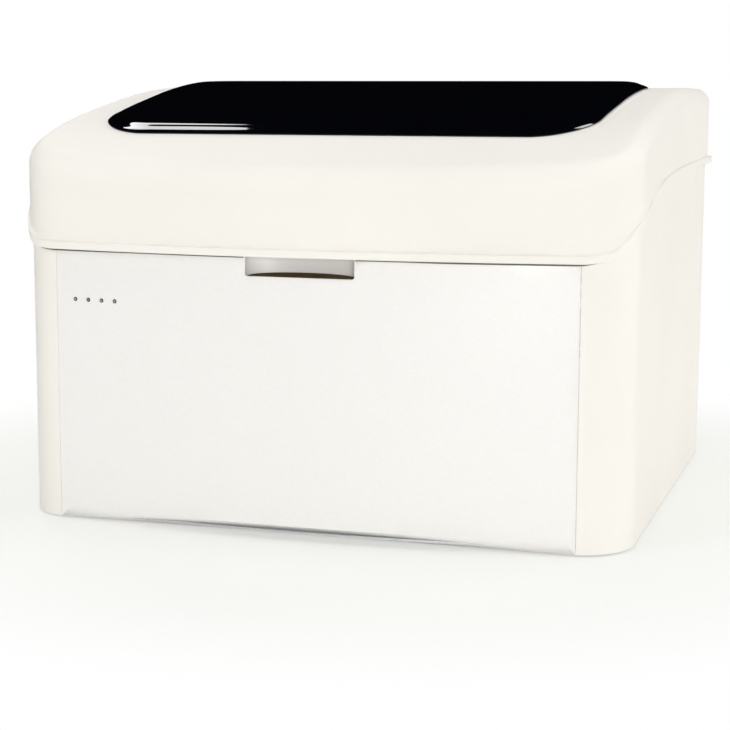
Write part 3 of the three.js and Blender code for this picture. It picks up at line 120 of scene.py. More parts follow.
class FinishColours(bpy.types.PropertyGroup):
    """Colours of the finishes."""

    cream: colour("Cream shell", (0.868, 0.842, 0.788), "Lid and side panels")
    pearl: colour("Pearl panel", (0.853, 0.838, 0.812), "Front panel and recess")
    window: colour("Window", (0.0010, 0.0012, 0.0024), "Glossy window")
    steel: colour("Bare steel", (0.62, 0.63, 0.65), "Brushed sheet, shafts and hinges")
    dark: colour("Dark metal", (0.09, 0.095, 0.10), "Powder-coated chassis pieces")
    black: colour("Black plastic", (0.015, 0.015, 0.017), "Moulded black pieces")
    white: colour("White plastic", (0.80, 0.81, 0.82), "Moulded deck pieces")
    rubber: colour("Rubber", (0.018, 0.018, 0.018), "Feet")
    clear: colour("Clear plastic", (0.72, 0.83, 0.87), "Reaction ring and lamp lenses")
    bottle: colour("Bottle plastic", (0.82, 0.77, 0.62), "Reagent bottles")
    board: colour("Circuit board", (0.02, 0.14, 0.07), "Control board")
    # Pearl made paler than the front panel: painted light on the shaded recess wall.
    recess: colour("Recess wall", (0.98, 0.96, 0.92), "Curved wall of the finger recess")
    # Colour of the dark strip that paints the shadow under the lid's lip; no real seal sits there.
    shadow_strip: colour("Lid seal", (0.10, 0.095, 0.07), "Thin seal under the lid's front edge")
    # Dark brown that paints the shade on the finger recess's floor under the lid's lip.
    painted_floor_shade: colour("Recess floor", (0.13, 0.09, 0.045), "Dark floor of the finger recess")


class StudioSettings(bpy.types.PropertyGroup):
    """Light, floor and lens of the stage."""

    ambient: number("Ambient", 0.30, "Strength of the even light from all sides")
    key: number("Key", 33.0, "Power of the large lamp at the front left, in watts")
    front: number("Front", 84.0, "Power of the low lamp at the front right, in watts")
    sheen: number("Sheen", 44.0, "Power of the lamp in front that only gloss shows, in watts")
    side: number("Side", 31.0, "Power of the lamp at the right, in watts")
    top: number("Top", 31.0, "Power of the lamp overhead, in watts")
    rear_left: number("Rear left", 30.0, "Power of the lamp behind on the left, in watts")
    rear_right: number("Rear right", 20.0, "Power of the lamp behind on the right, in watts")
    spark: number("Spark", 8.0, "Power of the small lamps that only gloss shows, in watts")
    lens: number("Lens", 88.39, "Focal length in millimetres on a 36 mm sensor")
    floor: colour("Floor", (0.96, 0.96, 0.94), "Floor near the machine")


# Curves and outlines.

LID_LINE_START = -10 * MM
LID_LINE_SHARES = (
    (0, 0), (0.014, 0.03), (0.028, 0.12), (0.05, 0.29), (0.077, 0.43), (0.145, 0.61),
    (0.25, 0.78), (0.34, 0.86), (0.54, 0.94), (0.77, 0.975), (1, 1))
LID_TOP_SHARES = (
    (0, 0), (0.07, 0.189), (0.157, 0.421), (0.257, 0.607), (0.38, 0.758), (0.507, 0.893),
    (0.624, 0.97), (0.726, 0.995), (1, 1))
LID_TOP_AVERAGE = ((-25, 1), (-17, 3), (-8, 5), (0, 6), (8, 5), (17, 3), (25, 1))
BOW_STEPS = 96
CORNER_STEPS = 28
SIDE_STEPS = 150
REAR_CORNER_STEPS = 12
REAR_STEPS = 48


def mm(*rows):
    """Array of numbers that are given in millimetres."""
    return np.array(rows, float) * MM


def smooth_curve(points, x):
    """Monotone cubic through points: the slope at each is the harmonic mean of the two chords."""
    px, py = np.array(points, float).T
    chord = np.diff(py) / np.diff(px)
    before, after = chord[:-1], chord[1:]
    inner = np.where(before * after > 0, 2 * before * after / (before + after), 0)
    slope = np.concatenate([chord[:1], inner, chord[-1:]])
    x = np.clip(x, px[0], px[-1])
    i = np.clip(np.searchsorted(px, x, side="right") - 1, 0, len(px) - 2)
    width = px[i + 1] - px[i]
    t = (x - px[i]) / width
    rise = py[i + 1] - py[i]
    a, b = slope[i] * width, slope[i + 1] * width
    return py[i] + t * (a + t * (3 * rise - 2 * a - b + t * (a + b - 2 * rise)))


def arc(x, y, radius, start, end, steps):
    """Points at equal angles, which count from straight forward (-Y) towards +X."""
    angle = np.linspace(start, end, steps + 1)
    return np.stack([x + radius * np.sin(angle), y - radius * np.cos(angle)], -1)


def circle(x, y, radius, steps=48):
    return arc(x, y, radius, 0, 2 * math.pi, steps)[:-1]


def polar(centre, radius, angle):
    return np.array([centre[0] + radius * math.cos(angle), centre[1] + radius * math.sin(angle)])


def mirrored(points):
    return points[::-1] * (-1, 1)


def rounded(points, radius, steps=5, closed=True):
    """Replaces each corner by an arc that touches both sides, its centre on the bisector."""
    points = np.asarray(points, float)
    radius = np.broadcast_to(radius, len(points))
    out = []
    for i, corner in enumerate(points):
        end = not closed and i in (0, len(points) - 1)
        before, after = points[i - 1] - corner, points[(i + 1) % len(points)] - corner
        reach = min(np.linalg.norm(before), np.linalg.norm(after)) * 0.49
        if end or radius[i] <= 0:
            out.append(corner[None])
            continue
        before, after = before / np.linalg.norm(before), after / np.linalg.norm(after)
        half = math.acos(np.clip(before @ after, -1, 1)) / 2
        if half > QUARTER - 0.01:
            out.append(corner[None])
            continue
        size = min(radius[i], reach * math.tan(half))
        centre = corner + (before + after) / np.linalg.norm(before + after) * size / math.sin(half)
        first = corner + before * size / math.tan(half) - centre
        last = corner + after * size / math.tan(half) - centre
        spread = math.pi - 2 * half
        t = np.linspace(0, 1, steps + 1)[:, None]
        out.append(centre + (np.sin((1 - t) * spread) * first + np.sin(t * spread) * last)
                   / math.sin(spread))
    return np.concatenate(out)


def rectangle(low, high, corner, steps=6):
    points = [(low[0], low[1]), (high[0], low[1]), (high[0], high[1]), (low[0], high[1])]
    return rounded(points, corner, steps) if corner else np.array(points, float)


def signed_area(loop):
    x, y = loop.T
    return (x * np.roll(y, -1) - np.roll(x, -1) * y).sum() / 2


def moved_in(loop, distance):
    """Loop moved to its left by a distance, each corner along its mitre."""
    ahead = np.roll(loop, -1, 0) - loop
    ahead /= np.linalg.norm(ahead, axis=1)[:, None]
    normal = np.stack([-ahead[:, 1], ahead[:, 0]], -1)
    before = np.roll(normal, 1, 0)
    scale = 1 + (normal * before).sum(1)
    return loop + distance * (normal + before) / np.maximum(scale, 0.3)[:, None]


class CasingForm:
    """Plan and side curves of the casing. Depths count from the ends of the bow."""

    def __init__(self, casing, lid):
        self.casing, self.lid = casing, lid
        self.half = casing.width / 2
        self.radius = (self.half ** 2 + casing.bow ** 2) / (2 * casing.bow)
        self.centre_y = self.radius - casing.bow
        self.corner_x = self.half - casing.front_corner
        self.corner_y = self.centre_y - math.sqrt(
            (self.radius - casing.front_corner) ** 2 - self.corner_x ** 2)
        self.start = math.atan2(self.corner_x, self.centre_y - self.corner_y)
        self.rear_x = self.half - casing.rear_corner
        self.rear_y = casing.depth - casing.rear_corner
        self.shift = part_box("front_panel")[0].y + casing.bow

    def side_shares(self):
        return np.linspace(0, 1, SIDE_STEPS + 1)[1:-1] ** 1.5

    def right_side(self, offset):
        """Front corner, side and rear corner on the right, moved outward by an offset."""
        shares = self.side_shares()
        side = np.stack([
            np.full(len(shares), self.half + offset),
            self.corner_y + (self.rear_y - self.corner_y) * shares], -1)
        return np.concatenate([
            arc(self.corner_x, self.corner_y, self.casing.front_corner + offset, self.start,
                QUARTER, CORNER_STEPS),
            side,
            arc(self.rear_x, self.rear_y, self.casing.rear_corner + offset, QUARTER, math.pi,
                REAR_CORNER_STEPS)])

    def front_arc(self, offset, half_angle, steps=BOW_STEPS):
        return arc(0, self.centre_y, self.radius + offset, -half_angle, half_angle, steps)

    def outline(self, offset):
        """Whole casing seen from above, moved outward by an offset."""
        right = self.right_side(offset)
        shares = np.linspace(0, 1, REAR_STEPS + 1)[1:-1]
        rear = np.stack([
            self.rear_x * (1 - 2 * shares), np.full(len(shares), self.casing.depth + offset)], -1)
        front = self.front_arc(offset, self.start)[1:-1]
        return np.concatenate([front, right, rear, mirrored(right)])

    def window_outline(self, inset):
        """Rounded rectangle with as many points as the casing's outline, in the same order."""
        lid = self.lid
        half = lid.window_width / 2 - inset
        low, high = lid.window_front + inset, lid.window_rear - inset
        large, small = lid.window_corner - inset / 2, lid.window_rear_corner - inset / 2
        share = np.linspace(0, 1, BOW_STEPS + 1)[1:-1]
        front = np.stack([(half - large) * (2 * share - 1), np.full(len(share), low)], -1)
        sides = self.side_shares()
        side = np.stack([
            np.full(len(sides), half), low + large + (high - low - large - small) * sides], -1)
        right = np.concatenate([
            arc(half - large, low + large, large, 0, QUARTER, CORNER_STEPS),
            side,
            arc(half - small, high - small, small, QUARTER, math.pi, REAR_CORNER_STEPS)])
        back = np.linspace(0, 1, REAR_STEPS + 1)[1:-1]
        rear = np.stack([(half - small) * (1 - 2 * back), np.full(len(back), high)], -1)
        points = np.concatenate([front, right, rear, mirrored(right)])
        narrow = (lid.window_rear - points[:, 1]) / (lid.window_rear - lid.window_front)
        points[:, 0] *= 1 - narrow * lid.window_taper / lid.window_width
        return points

    def lid_line(self, y):
        """Height of the lid's lower edge: level at the front, then an S towards the rear."""
        share = (y - LID_LINE_START) / (self.casing.depth - LID_LINE_START)
        return self.lid.line + self.lid.climb * smooth_curve(LID_LINE_SHARES, share)

    def lid_top(self, y):
        """Height of the lid's top: a smooth curve, averaged over 50 mm of depth to even it."""
        front = -self.casing.bow - self.lid.lip_reach
        span = self.casing.depth + self.lid.lip_reach - front
        low = self.lid.line + self.lid.front_height
        rise = self.lid.climb + self.lid.rear_height - self.lid.front_height
        total = 0
        for step, weight in LID_TOP_AVERAGE:
            share = (y + step * MM - front) / span
            total = total + weight * smooth_curve(LID_TOP_SHARES, share)
        return low + rise * total / sum(weight for _, weight in LID_TOP_AVERAGE)

    def shaded_recess_floor(self):
        return self.lid.line - self.casing.recess_height - self.casing.edge

    def outward(self, path, rows):
        """Wall along a plan path: each row gives an offset and a height over the base path."""
        base = path(0)
        columns = [np.column_stack([path(offset) + (0, self.shift), height(base[:, 1])])
                   for offset, height in rows]
        return np.stack(columns, 1)


def casing_form(context):
    return CasingForm(context.scene.analyzer_casing, context.scene.analyzer_lid)


# Mesh parts: an array of points and a list of face arrays.

def grid(points, wrap_u=False, wrap_v=False):
    """Quads between neighbouring points of a grid of U by V points."""
    index = np.arange(points.shape[0] * points.shape[1]).reshape(points.shape[:2])
    if wrap_u:
        index = np.concatenate([index, index[:1]])
    if wrap_v:
        index = np.concatenate([index, index[:, :1]], 1)
    quads = np.stack([index[:-1, :-1], index[1:, :-1], index[1:, 1:], index[:-1, 1:]], -1)
    return points.reshape(-1, 3), [quads.reshape(-1, 4)]


def capped(points, wrap_u=True):
    """Closed tube: loops along the first axis are joined, and the first and last loop are filled."""
    verts, faces = grid(points, wrap_v=wrap_u)
    count = points.shape[1]
    first = np.arange(count)[None]
    last = first + (points.shape[0] - 1) * count
    return verts, faces + [first[:, ::-1], last]


def joined(parts):
    verts, faces, start = [], [], 0
    for points, lists in parts:
        verts.append(points)
        faces += [part + start for part in lists]
        start += len(points)
    return np.concatenate(verts), faces


def welded(part, step=1e-7):
    """Merges points that coincide, and turns the quads that this folds into triangles."""
    verts, lists = part
    _, first, inverse = np.unique(
        np.round(verts / step).astype(np.int64), axis=0, return_index=True, return_inverse=True)
    out = []
    for faces in lists:
        faces = inverse.reshape(-1)[faces]
        same = faces == np.roll(faces, -1, 1)
        out.append(faces[~same.any(1)])
        once = same.sum(1) == 1
        if faces.shape[1] == 4 and once.any():
            out.append(faces[once][~same[once]].reshape(-1, 3))
        elif faces.shape[1] > 4 and same.any():
            out += [row[~gone][None] for row, gone in zip(faces, same) if gone.any()]
    return verts[first], [faces for faces in out if len(faces)]


def facing_out(part):
    """Turns every face round where the enclosed volume comes out negative."""
    verts, lists = part
    volume = 0
    for faces in lists:
        for k in range(1, faces.shape[1] - 1):
            a, b, c = verts[faces[:, 0]], verts[faces[:, k]], verts[faces[:, k + 1]]
            volume += (a * np.cross(b, c)).sum()
    return part if volume > 0 else (verts, [faces[:, ::-1] for faces in lists])


def placed(part, at=(0, 0, 0), turn=0, matrix=None):
    """Part turned about the upright axis and moved, or taken through a matrix. at may be a
    place on the level plane, without its height."""
    verts, faces = part
    if matrix is None:
        matrix = Matrix.Translation((*at, 0)[:3]) @ Matrix.Rotation(turn, 4, "Z")
    m = np.array(matrix)
    return verts @ m[:3, :3].T + m[:3, 3], faces


def lathe(profile, segments=64, corner=0, steps=4):
    """Profile of radius and height turned about the upright axis, its corners rounded."""
    profile = np.asarray(profile, float)
    open_ends = profile[0, 0] == 0
    if corner:
        profile = rounded(profile, corner, steps, closed=not open_ends)
    angle = np.linspace(0, 2 * math.pi, segments, endpoint=False)[:, None]
    points = np.stack([
        profile[:, 0] * np.cos(angle), profile[:, 0] * np.sin(angle),
        np.broadcast_to(profile[:, 1], (segments, len(profile)))], -1)
    return facing_out(welded(grid(points, wrap_u=True, wrap_v=not open_ends)))


def prism(loop, bottom, top, edge=0, steps=3):
    """Upright prism over a loop. Both rims are rounded by quarter arcs moved in from the loop."""
    loop = loop if signed_area(loop) > 0 else loop[::-1]
    angle = np.linspace(0, QUARTER, steps + 1)
    inset = edge * (1 - np.sin(angle))
    drop = edge * (1 - np.cos(angle))
    rows = [(bottom + d, i) for d, i in zip(drop, inset)]
    rows += [(top - d, i) for d, i in zip(drop[::-1], inset[::-1])]
    if not edge:
        rows = [(bottom, 0), (top, 0)]
    loops = [np.column_stack([moved_in(loop, i) if i else loop, np.full(len(loop), z)])
             for z, i in rows]
    return facing_out(capped(np.array(loops)))


def block(low, high, edge, corner=None):
    """Box with rounded upright corners and rims."""
    corner = edge * 1.5 if corner is None else corner
    return prism(rectangle(low, high, corner), low[2], high[2], edge)


def inside(points, loop):
    """Whether points lie in a loop, by counting the sides that a ray along +X crosses."""
    x, y = points[:, :1], points[:, 1:]
    x0, y0 = loop.T
    x1, y1 = np.roll(loop, -1, 0).T
    crosses = (y0 > y) != (y1 > y)
    with np.errstate(divide="ignore", invalid="ignore"):
        at = x0 + (y - y0) * (x1 - x0) / (y1 - y0)
    return (crosses & (at > x)).sum(1) % 2 == 1


def filling(loops, spacing):
    """Points on a square grid inside the first loop and clear of all loops."""
    low, high = loops[0].min(0), loops[0].max(0)
    axes = [np.arange(a + spacing, b, spacing) for a, b in zip(low, high)]
    if not all(len(axis) for axis in axes):
        return np.zeros((0, 2))
    points = np.stack(np.meshgrid(*axes), -1).reshape(-1, 2)
    keep = inside(points, loops[0])
    for hole in loops[1:]:
        keep &= ~inside(points, hole)
    points = points[keep]
    rims = np.concatenate(loops)
    if not len(points):
        return points
    near = ((points[:, None] - rims[None]) ** 2).sum(2).min(1)
    return points[near > (spacing * 0.4) ** 2]


def triangles(loops, inner):
    """Delaunay triangles between loops, where all but the first are holes."""
    edges, start = [], 0
    for loop in loops:
        edges += [(start + i, start + (i + 1) % len(loop)) for i in range(len(loop))]
        start += len(loop)
    points = np.concatenate(list(loops) + [inner])
    _, _, faces, origin, _, _ = delaunay_2d_cdt([Vector(p) for p in points], edges, [], 0, 1e-9)
    found = np.array([[origin[i][0] for i in face] for face in faces])
    centres = points[found].mean(1)
    keep = inside(centres, loops[0])
    for hole in loops[1:]:
        keep &= ~inside(centres, hole)
    return found[keep]


def plate(loops, thickness, edge, bend, spacing=None, steps=3, back_edge=0):
    """Sheet between loops, its face's rims rounded. bend takes (along, up, depth) to a place."""
    loops = [loop if (signed_area(loop) > 0) == (i == 0) else loop[::-1]
             for i, loop in enumerate(loops)]
    angle = np.linspace(0, QUARTER, steps + 1) if edge else np.zeros(1)
    rows = [(edge * (1 - math.sin(a)), edge * (1 - math.cos(a))) for a in angle]
    rows.append((0, thickness - back_edge))
    if back_edge:
        rows.append((back_edge, thickness))
    face_loops = [moved_in(loop, rows[0][0]) if rows[0][0] else loop for loop in loops]
    inner = filling(face_loops, spacing) if spacing else np.zeros((0, 2))
    face = triangles(face_loops, inner)
    verts, faces, start = [], [], 0
    front_index, back_index = [], []
    for loop in loops:
        ring = np.stack([np.column_stack([moved_in(loop, i) if i else loop,
                                          np.full(len(loop), d)]) for i, d in rows], 1)
        points, quads = grid(ring, wrap_u=True)
        verts.append(points)
        faces.append(quads[0] + start)
        index = np.arange(len(points)).reshape(len(loop), len(rows)) + start
        front_index.append(index[:, 0])
        back_index.append(index[:, -1])
        start += len(points)
    count = len(inner)
    verts.append(np.column_stack([inner, np.zeros(count)]))
    verts.append(np.column_stack([inner, np.full(count, thickness)]))
    front = np.concatenate(front_index + [np.arange(count) + start])
    back = np.concatenate(back_index + [np.arange(count) + start + count])
    faces += [front[face][:, ::-1], back[face]]
    flat = np.concatenate(verts)
    return facing_out((bend(flat[:, 0], flat[:, 1], flat[:, 2]), faces))


def level(top, shift=0):
    """Bend of a level sheet: along is X, up is Y, and depth counts down from its top."""
    return lambda x, y, depth: np.stack([x, y + shift, top - depth], -1)


def tube(path, radius, segments=16):
    """Round tube along a path of points, its ends closed."""
    path = np.asarray(path, float)
    ahead = np.gradient(path, axis=0)
    ahead /= np.linalg.norm(ahead, axis=1)[:, None]
    side = np.cross(ahead, (0.13, 0.21, 0.97))
    side /= np.linalg.norm(side, axis=1)[:, None]
    over = np.cross(side, ahead)
    angle = np.linspace(0, 2 * math.pi, segments, endpoint=False)[None, :, None]
    points = path[:, None] + radius * (side[:, None] * np.cos(angle) + over[:, None] * np.sin(angle))
    return facing_out(capped(points))


# Finishes. Object coordinates are the model's own metres, so a noise scale counts per metre.

LIQUID_LEVEL = 317 * MM
FINISH_SUFFIX = "_finish"


def node(tree, kind, inputs=(), **settings):
    """New shader node. Each input is a value, or a socket to link from."""
    made = tree.nodes.new(kind)
    for name, value in settings.items():
        setattr(made, name, value)
    for key, value in dict(inputs).items():
        socket = made.inputs[key]
        if isinstance(value, bpy.types.NodeSocket):
            tree.links.new(value, socket)
        else:
            socket.default_value = value
    return made


def tone(rgb, factor):
    return tuple(min(1, channel * factor) for channel in rgb) + (1,)


class Finish:
    """Principled material whose colour, roughness and relief come from noise on the surface."""

    def __init__(self, name, rgb, **constants):
        self.material = bpy.data.materials.new(name + FINISH_SUFFIX)
        self.material.use_nodes = True
        self.tree = self.material.node_tree
        self.shader = self.tree.nodes["Principled BSDF"]
        self.rgb = tuple(rgb)
        self.shader.inputs["Base Color"].default_value = self.rgb + (1,)
        self.material.diffuse_color = self.rgb + (1,)
        for key, value in constants.items():
            self.shader.inputs[key.replace("_", " ")].default_value = value
        self.place = node(self.tree, "ShaderNodeTexCoord").outputs["Object"]

    def stretched(self, scale, turn=(0, 0, 0)):
        return node(self.tree, "ShaderNodeMapping",
                    {"Vector": self.place, "Scale": scale, "Rotation": turn}).outputs["Vector"]

    def noise(self, scale, detail=2.0, roughness=0.5, vector=None):
        return node(self.tree, "ShaderNodeTexNoise", {
            "Vector": vector or self.place, "Scale": scale, "Detail": detail,
            "Roughness": roughness}).outputs["Fac"]

    def spread(self, value, low, high, start=0.3, end=0.7):
        """Takes a value between start and end to one between low and high."""
        return node(self.tree, "ShaderNodeMapRange", {
            "Value": value, "From Min": start, "From Max": end, "To Min": low,
            "To Max": high}).outputs["Result"]

    def mixed(self, factor, first, second):
        return node(self.tree, "ShaderNodeMix", {0: factor, 6: first, 7: second},
                    data_type="RGBA").outputs[2]

    def set(self, socket, value):
        self.tree.links.new(value, self.shader.inputs[socket])
        return self

    def coloured(self, factor, low, high):
        """Colour that runs between two tones of the finish's own colour."""
        return self.set("Base Color", self.mixed(factor, tone(self.rgb, low), tone(self.rgb, high)))

    def relief(self, height, depth, strength=1.0):
        bump = node(self.tree, "ShaderNodeBump", {
            "Height": height, "Distance": depth, "Strength": strength})
        return self.set("Normal", bump.outputs["Normal"])


def cream_finish(rgb):
    """Warm white moulded shell: slow drift of tone, fine satin grain and faint moulding flow."""
    made = Finish("cream_shell", rgb, Specular_IOR_Level=0.2)
    drift = made.noise(5, 2)
    grain = made.noise(1100, 3, 0.6)
    made.coloured(made.spread(drift, 0, 1), 0.985, 1.012)
    made.set("Roughness", made.spread(made.noise(60, 3), 0.5, 0.6))
    return made.relief(grain, 0.00012, 0.35)


def pearl_finish(rgb, name="pearl_panel"):
    """Pearl lacquer: small bright and dull flakes under a clear coat."""
    made = Finish(name, rgb, Coat_Weight=0.2, Coat_Roughness=0.15,
                  Specular_IOR_Level=0.4, Sheen_Weight=0.05)
    flake = node(made.tree, "ShaderNodeTexVoronoi", {"Vector": made.place, "Scale": 620.0})
    speck = node(made.tree, "ShaderNodeSeparateColor", {0: flake.outputs["Color"]}).outputs[0]
    blend = node(made.tree, "ShaderNodeMix", {
        0: 0.5, 2: made.spread(made.noise(260, 3, 0.7), 0, 1), 3: speck}).outputs[0]
    made.coloured(blend, 0.975, 1.015)
    made.set("Roughness", made.spread(blend, 0.34, 0.5, 0, 1))
    return made.relief(made.noise(700, 3, 0.6), 0.0001, 0.35)


def window_finish(rgb):
    """Black gloss: almost mirror smooth, with faint wiping marks in the roughness."""
    made = Finish("window_gloss", rgb, Specular_IOR_Level=0.42)
    marks = made.noise(9, 4, 0.6, made.stretched((1, 6, 6), (0, 0, 0.4)))
    made.coloured(made.noise(30), 0.8, 1.4)
    made.set("Roughness", made.spread(marks, 0.02, 0.045))
    return made.relief(made.noise(14, 1), 0.0002, 0.12)


def steel_finish(rgb):
    """Brushed sheet: long fine scratches along X in roughness, tone and relief."""
    made = Finish("bare_steel", rgb, Metallic=1.0)
    scratches = made.noise(90, 4, 0.65, made.stretched((0.6, 28, 28)))
    made.coloured(scratches, 0.8, 1.08)
    made.set("Roughness", made.spread(scratches, 0.22, 0.42))
    return made.relief(scratches, 0.0001, 0.3)


def dark_finish(rgb):
    """Powder coat: dense orange peel in tone and relief."""
    made = Finish("dark_metal", rgb)
    peel = made.noise(900, 2, 0.5)
    made.coloured(peel, 0.75, 1.3)
    made.set("Roughness", made.spread(made.noise(300), 0.42, 0.6))
    return made.relief(peel, 0.0003, 0.5)


def moulded_finish(name, rgb, low, high, grain=1600, **constants):
    """Moulded plastic: spark-eroded grain, and a slow change of gloss."""
    made = Finish(name, rgb, **constants)
    pits = made.noise(grain, 2, 0.5)
    made.coloured(made.noise(40, 3), 0.94, 1.05)
    made.set("Roughness", made.spread(made.noise(25, 2), low, high))
    return made.relief(pits, 0.00015, 0.4)


def clear_finish(rgb):
    """Clear moulding: lets most light through, with faint flow lines."""
    made = Finish("clear_plastic", rgb, Transmission_Weight=0.55, IOR=1.49)
    flow = made.noise(35, 3, 0.5, made.stretched((1, 1, 4)))
    made.coloured(flow, 0.94, 1.05)
    made.set("Roughness", made.spread(flow, 0.06, 0.14))
    return made.relief(flow, 0.0002, 0.2)


def bottle_finish(rgb):
    """Translucent bottle: darker up to the liquid's level, cloudy above it."""
    made = Finish("bottle_plastic", rgb, Transmission_Weight=0.15, IOR=1.5,
                  Subsurface_Weight=0.1, Subsurface_Scale=0.01)
    height = node(made.tree, "ShaderNodeSeparateXYZ", {0: made.place}).outputs["Z"]
    liquid = made.spread(height, 1, 0, LIQUID_LEVEL - 0.6 * MM, LIQUID_LEVEL + 0.6 * MM)
    cloud = made.mixed(made.noise(120, 3), tone(rgb, 0.92), tone(rgb, 1.1))
    wet = made.mixed(made.noise(40, 2), tone((0.55, 0.36, 0.12), 0.9), tone((0.6, 0.42, 0.16), 1.1))
    made.set("Base Color", made.mixed(liquid, cloud, wet))
    made.set("Roughness", made.spread(made.noise(80), 0.2, 0.32))
    return made.relief(made.noise(500), 0.0001, 0.3)


def board_finish(rgb):
    """Circuit board: paler copper tracks in a brick layout under green mask."""
    made = Finish("circuit_board", rgb, Specular_IOR_Level=0.5)
    bricks = node(made.tree, "ShaderNodeTexBrick", {
        "Vector": made.stretched((1, 1, 1), (QUARTER, 0, 0)), "Scale": 60.0, "Mortar Size": 0.03,
        "Color1": tone(rgb, 0.8), "Color2": tone(rgb, 1.2), "Mortar": (0.10, 0.32, 0.12, 1)})
    made.set("Base Color", bricks.outputs["Color"])
    made.set("Roughness", made.spread(made.noise(200), 0.3, 0.5))
    return made.relief(bricks.outputs["Fac"], 0.0002, 0.4)


def make_finishes(context):
    """All finishes by the record's slot names, in the colours that the panel holds."""
    c = context.scene.analyzer_colours
    made = {
        "cream_shell": cream_finish(c.cream),
        "pearl_panel": pearl_finish(c.pearl),
        "window_gloss": window_finish(c.window),
        "bare_steel": steel_finish(c.steel),
        "dark_metal": dark_finish(c.dark),
        "black_plastic": moulded_finish("black_plastic", c.black, 0.38, 0.55),
        "white_plastic": moulded_finish("white_plastic", c.white, 0.36, 0.5),
        "foot_rubber": moulded_finish("foot_rubber", c.rubber, 0.7, 0.9, 700),
        "clear_plastic": clear_finish(c.clear),
        "bottle_plastic": bottle_finish(c.bottle),
        "circuit_board": board_finish(c.board),
        # Dark strip under the lid's lip: painted shadow.
        "lid_shadow_strip": moulded_finish("lid_shadow_strip", c.shadow_strip, 0.5, 0.65, 900),
        # Matt dark floor that paints the shade in the finger recess.
        "shaded_recess_floor": moulded_finish("shaded_recess_floor", c.painted_floor_shade, 0.8, 0.95, 900,
                                       Specular_IOR_Level=0.0),
        # Paler pearl: painted light on the shaded recess wall.
        "painted_lit_recess_wall": pearl_finish(c.recess, "painted_lit_recess_wall"),
    }
    return {name: finish.material for name, finish in made.items()}


# Pieces.

def body_of(name):
    """Body that a CAD node rides on."""
    return next(body for body, names in frame["record"]["behaviour"]["bodies"].items()
                if name in names)


def piece(name, parts, slot, like, at=(0, 0), turn=0, replaces=True, sharp=35, even=True,
          finish=None):
    """Object from mesh parts, turned and moved, with the finish of a slot or another one. It
    rides on the body of the CAD node that it is like, and stands for that node. even weights
    its normals by the faces' areas."""
    verts, lists = placed(joined(parts if isinstance(parts, list) else [parts]), at, turn)
    mesh = bpy.data.meshes.new(name)
    sizes = np.concatenate([np.full(len(faces), faces.shape[1]) for faces in lists])
    corners = np.concatenate([faces.reshape(-1) for faces in lists]).astype(np.int32)
    mesh.vertices.add(len(verts))
    mesh.vertices.foreach_set("co", verts.astype(np.float32).reshape(-1))
    mesh.loops.add(len(corners))
    mesh.loops.foreach_set("vertex_index", corners)
    mesh.polygons.add(len(sizes))
    mesh.polygons.foreach_set("loop_start", np.concatenate([[0], np.cumsum(sizes)[:-1]]))
    mesh.polygons.foreach_set("use_smooth", np.ones(len(sizes), bool))
    mesh.update(calc_edges=True)
    mesh.validate()
    mesh.materials.append(bpy.data.materials[(finish or slot) + FINISH_SUFFIX])
    mesh.set_sharp_from_angle(angle=math.radians(sharp))
    made = bpy.data.objects.new(name, mesh)
    bpy.context.collection.objects.link(made)
    if even:
        modifier = made.modifiers.new("Even faces", "WEIGHTED_NORMAL")
        modifier.keep_sharp = True
    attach(made, body_of(like))
    if replaces:
        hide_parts(like)
    return made


def extra(name, parts, slot, like, at=(0, 0), turn=0, finish=None):
    """Piece that rides with a CAD node and doesn't stand for it."""
    return piece(name, parts, slot, like, at, turn, replaces=False, finish=finish)


class PieceOperator(bpy.types.Operator):
    """Builds one group of pieces around the frame."""

    bl_options = {"REGISTER", "UNDO"}

    def execute(self, context):
        self.build(context, casing_form(context))
        return {"FINISHED"}


class AddFinishes(bpy.types.Operator):
    """Makes every finish, and gives each CAD node the one of its slot."""

    bl_idname = "analyzer.add_finishes"
    bl_label = "Finishes"

    def execute(self, context):
        finishes = make_finishes(context)
        slots = {part["node"]: part["material_slot"] for part in frame["record"]["subparts"]}
        for name, slot in slots.items():
            made = frame["nodes"][name]
            if not made.material_slots:
                made.data.materials.append(finishes[slot])
            for place in made.material_slots:
                place.material = finishes[slot]
        return {"FINISHED"}


PLATE_SPACING = 14 * MM
RIM_OVERLAP = 5 * MM
ROLL_LENGTH = 9 * MM
ROLL_DEPTH = 1.0 * MM
ROLL_COLUMNS = 3
SEAT_GAP = 0.3 * MM
LAMP_COUNT = 4
LAMP_FROM_MIDDLE = 247 * MM
LAMP_HEIGHT = 253 * MM
LAMP_DEPTH = 6 * MM
COLLAR_PROUD = 0.35 * MM
LENS_SHARE = 0.62
LENS_FIT = 0.98
LENS_BASE = 0.1 * MM
LENS_DOME = 0.5 * MM
CUP_WALL = 2 * MM
CUP_FULLNESS = 0.7
RECESS_EDGE = 0.8 * MM
RECESS_RAMP = 3.6 * MM
# Dark strip that paints the shadow under the lid's lip: how far it stands out and drops, its gap at
# the recess, and its height along the front.
SHADOW_STRIP_PROUD = 1.2 * MM
SHADOW_STRIP_DROP = 2.1 * MM
SHADOW_STRIP_GAP_ANGLE = 0.0008
SHADOW_STRIP_COLUMNS = 12
SHADOW_STRIP_SHARES = ((-1, 0.95), (-0.6, 0.7), (0.3, 0.7), (0.6, 1), (1.02, 1), (1.12, 0.1), (1.3, 0.1))


def lamp_places(form):
    """Arc length from the middle, and height, of each lamp on the front panel."""
    step = (np.arange(LAMP_COUNT) - (LAMP_COUNT - 1) / 2) * form.casing.lamp_pitch
    along = form.radius * np.arcsin((step - LAMP_FROM_MIDDLE) / form.radius)
    return [(a, LAMP_HEIGHT) for a in along]


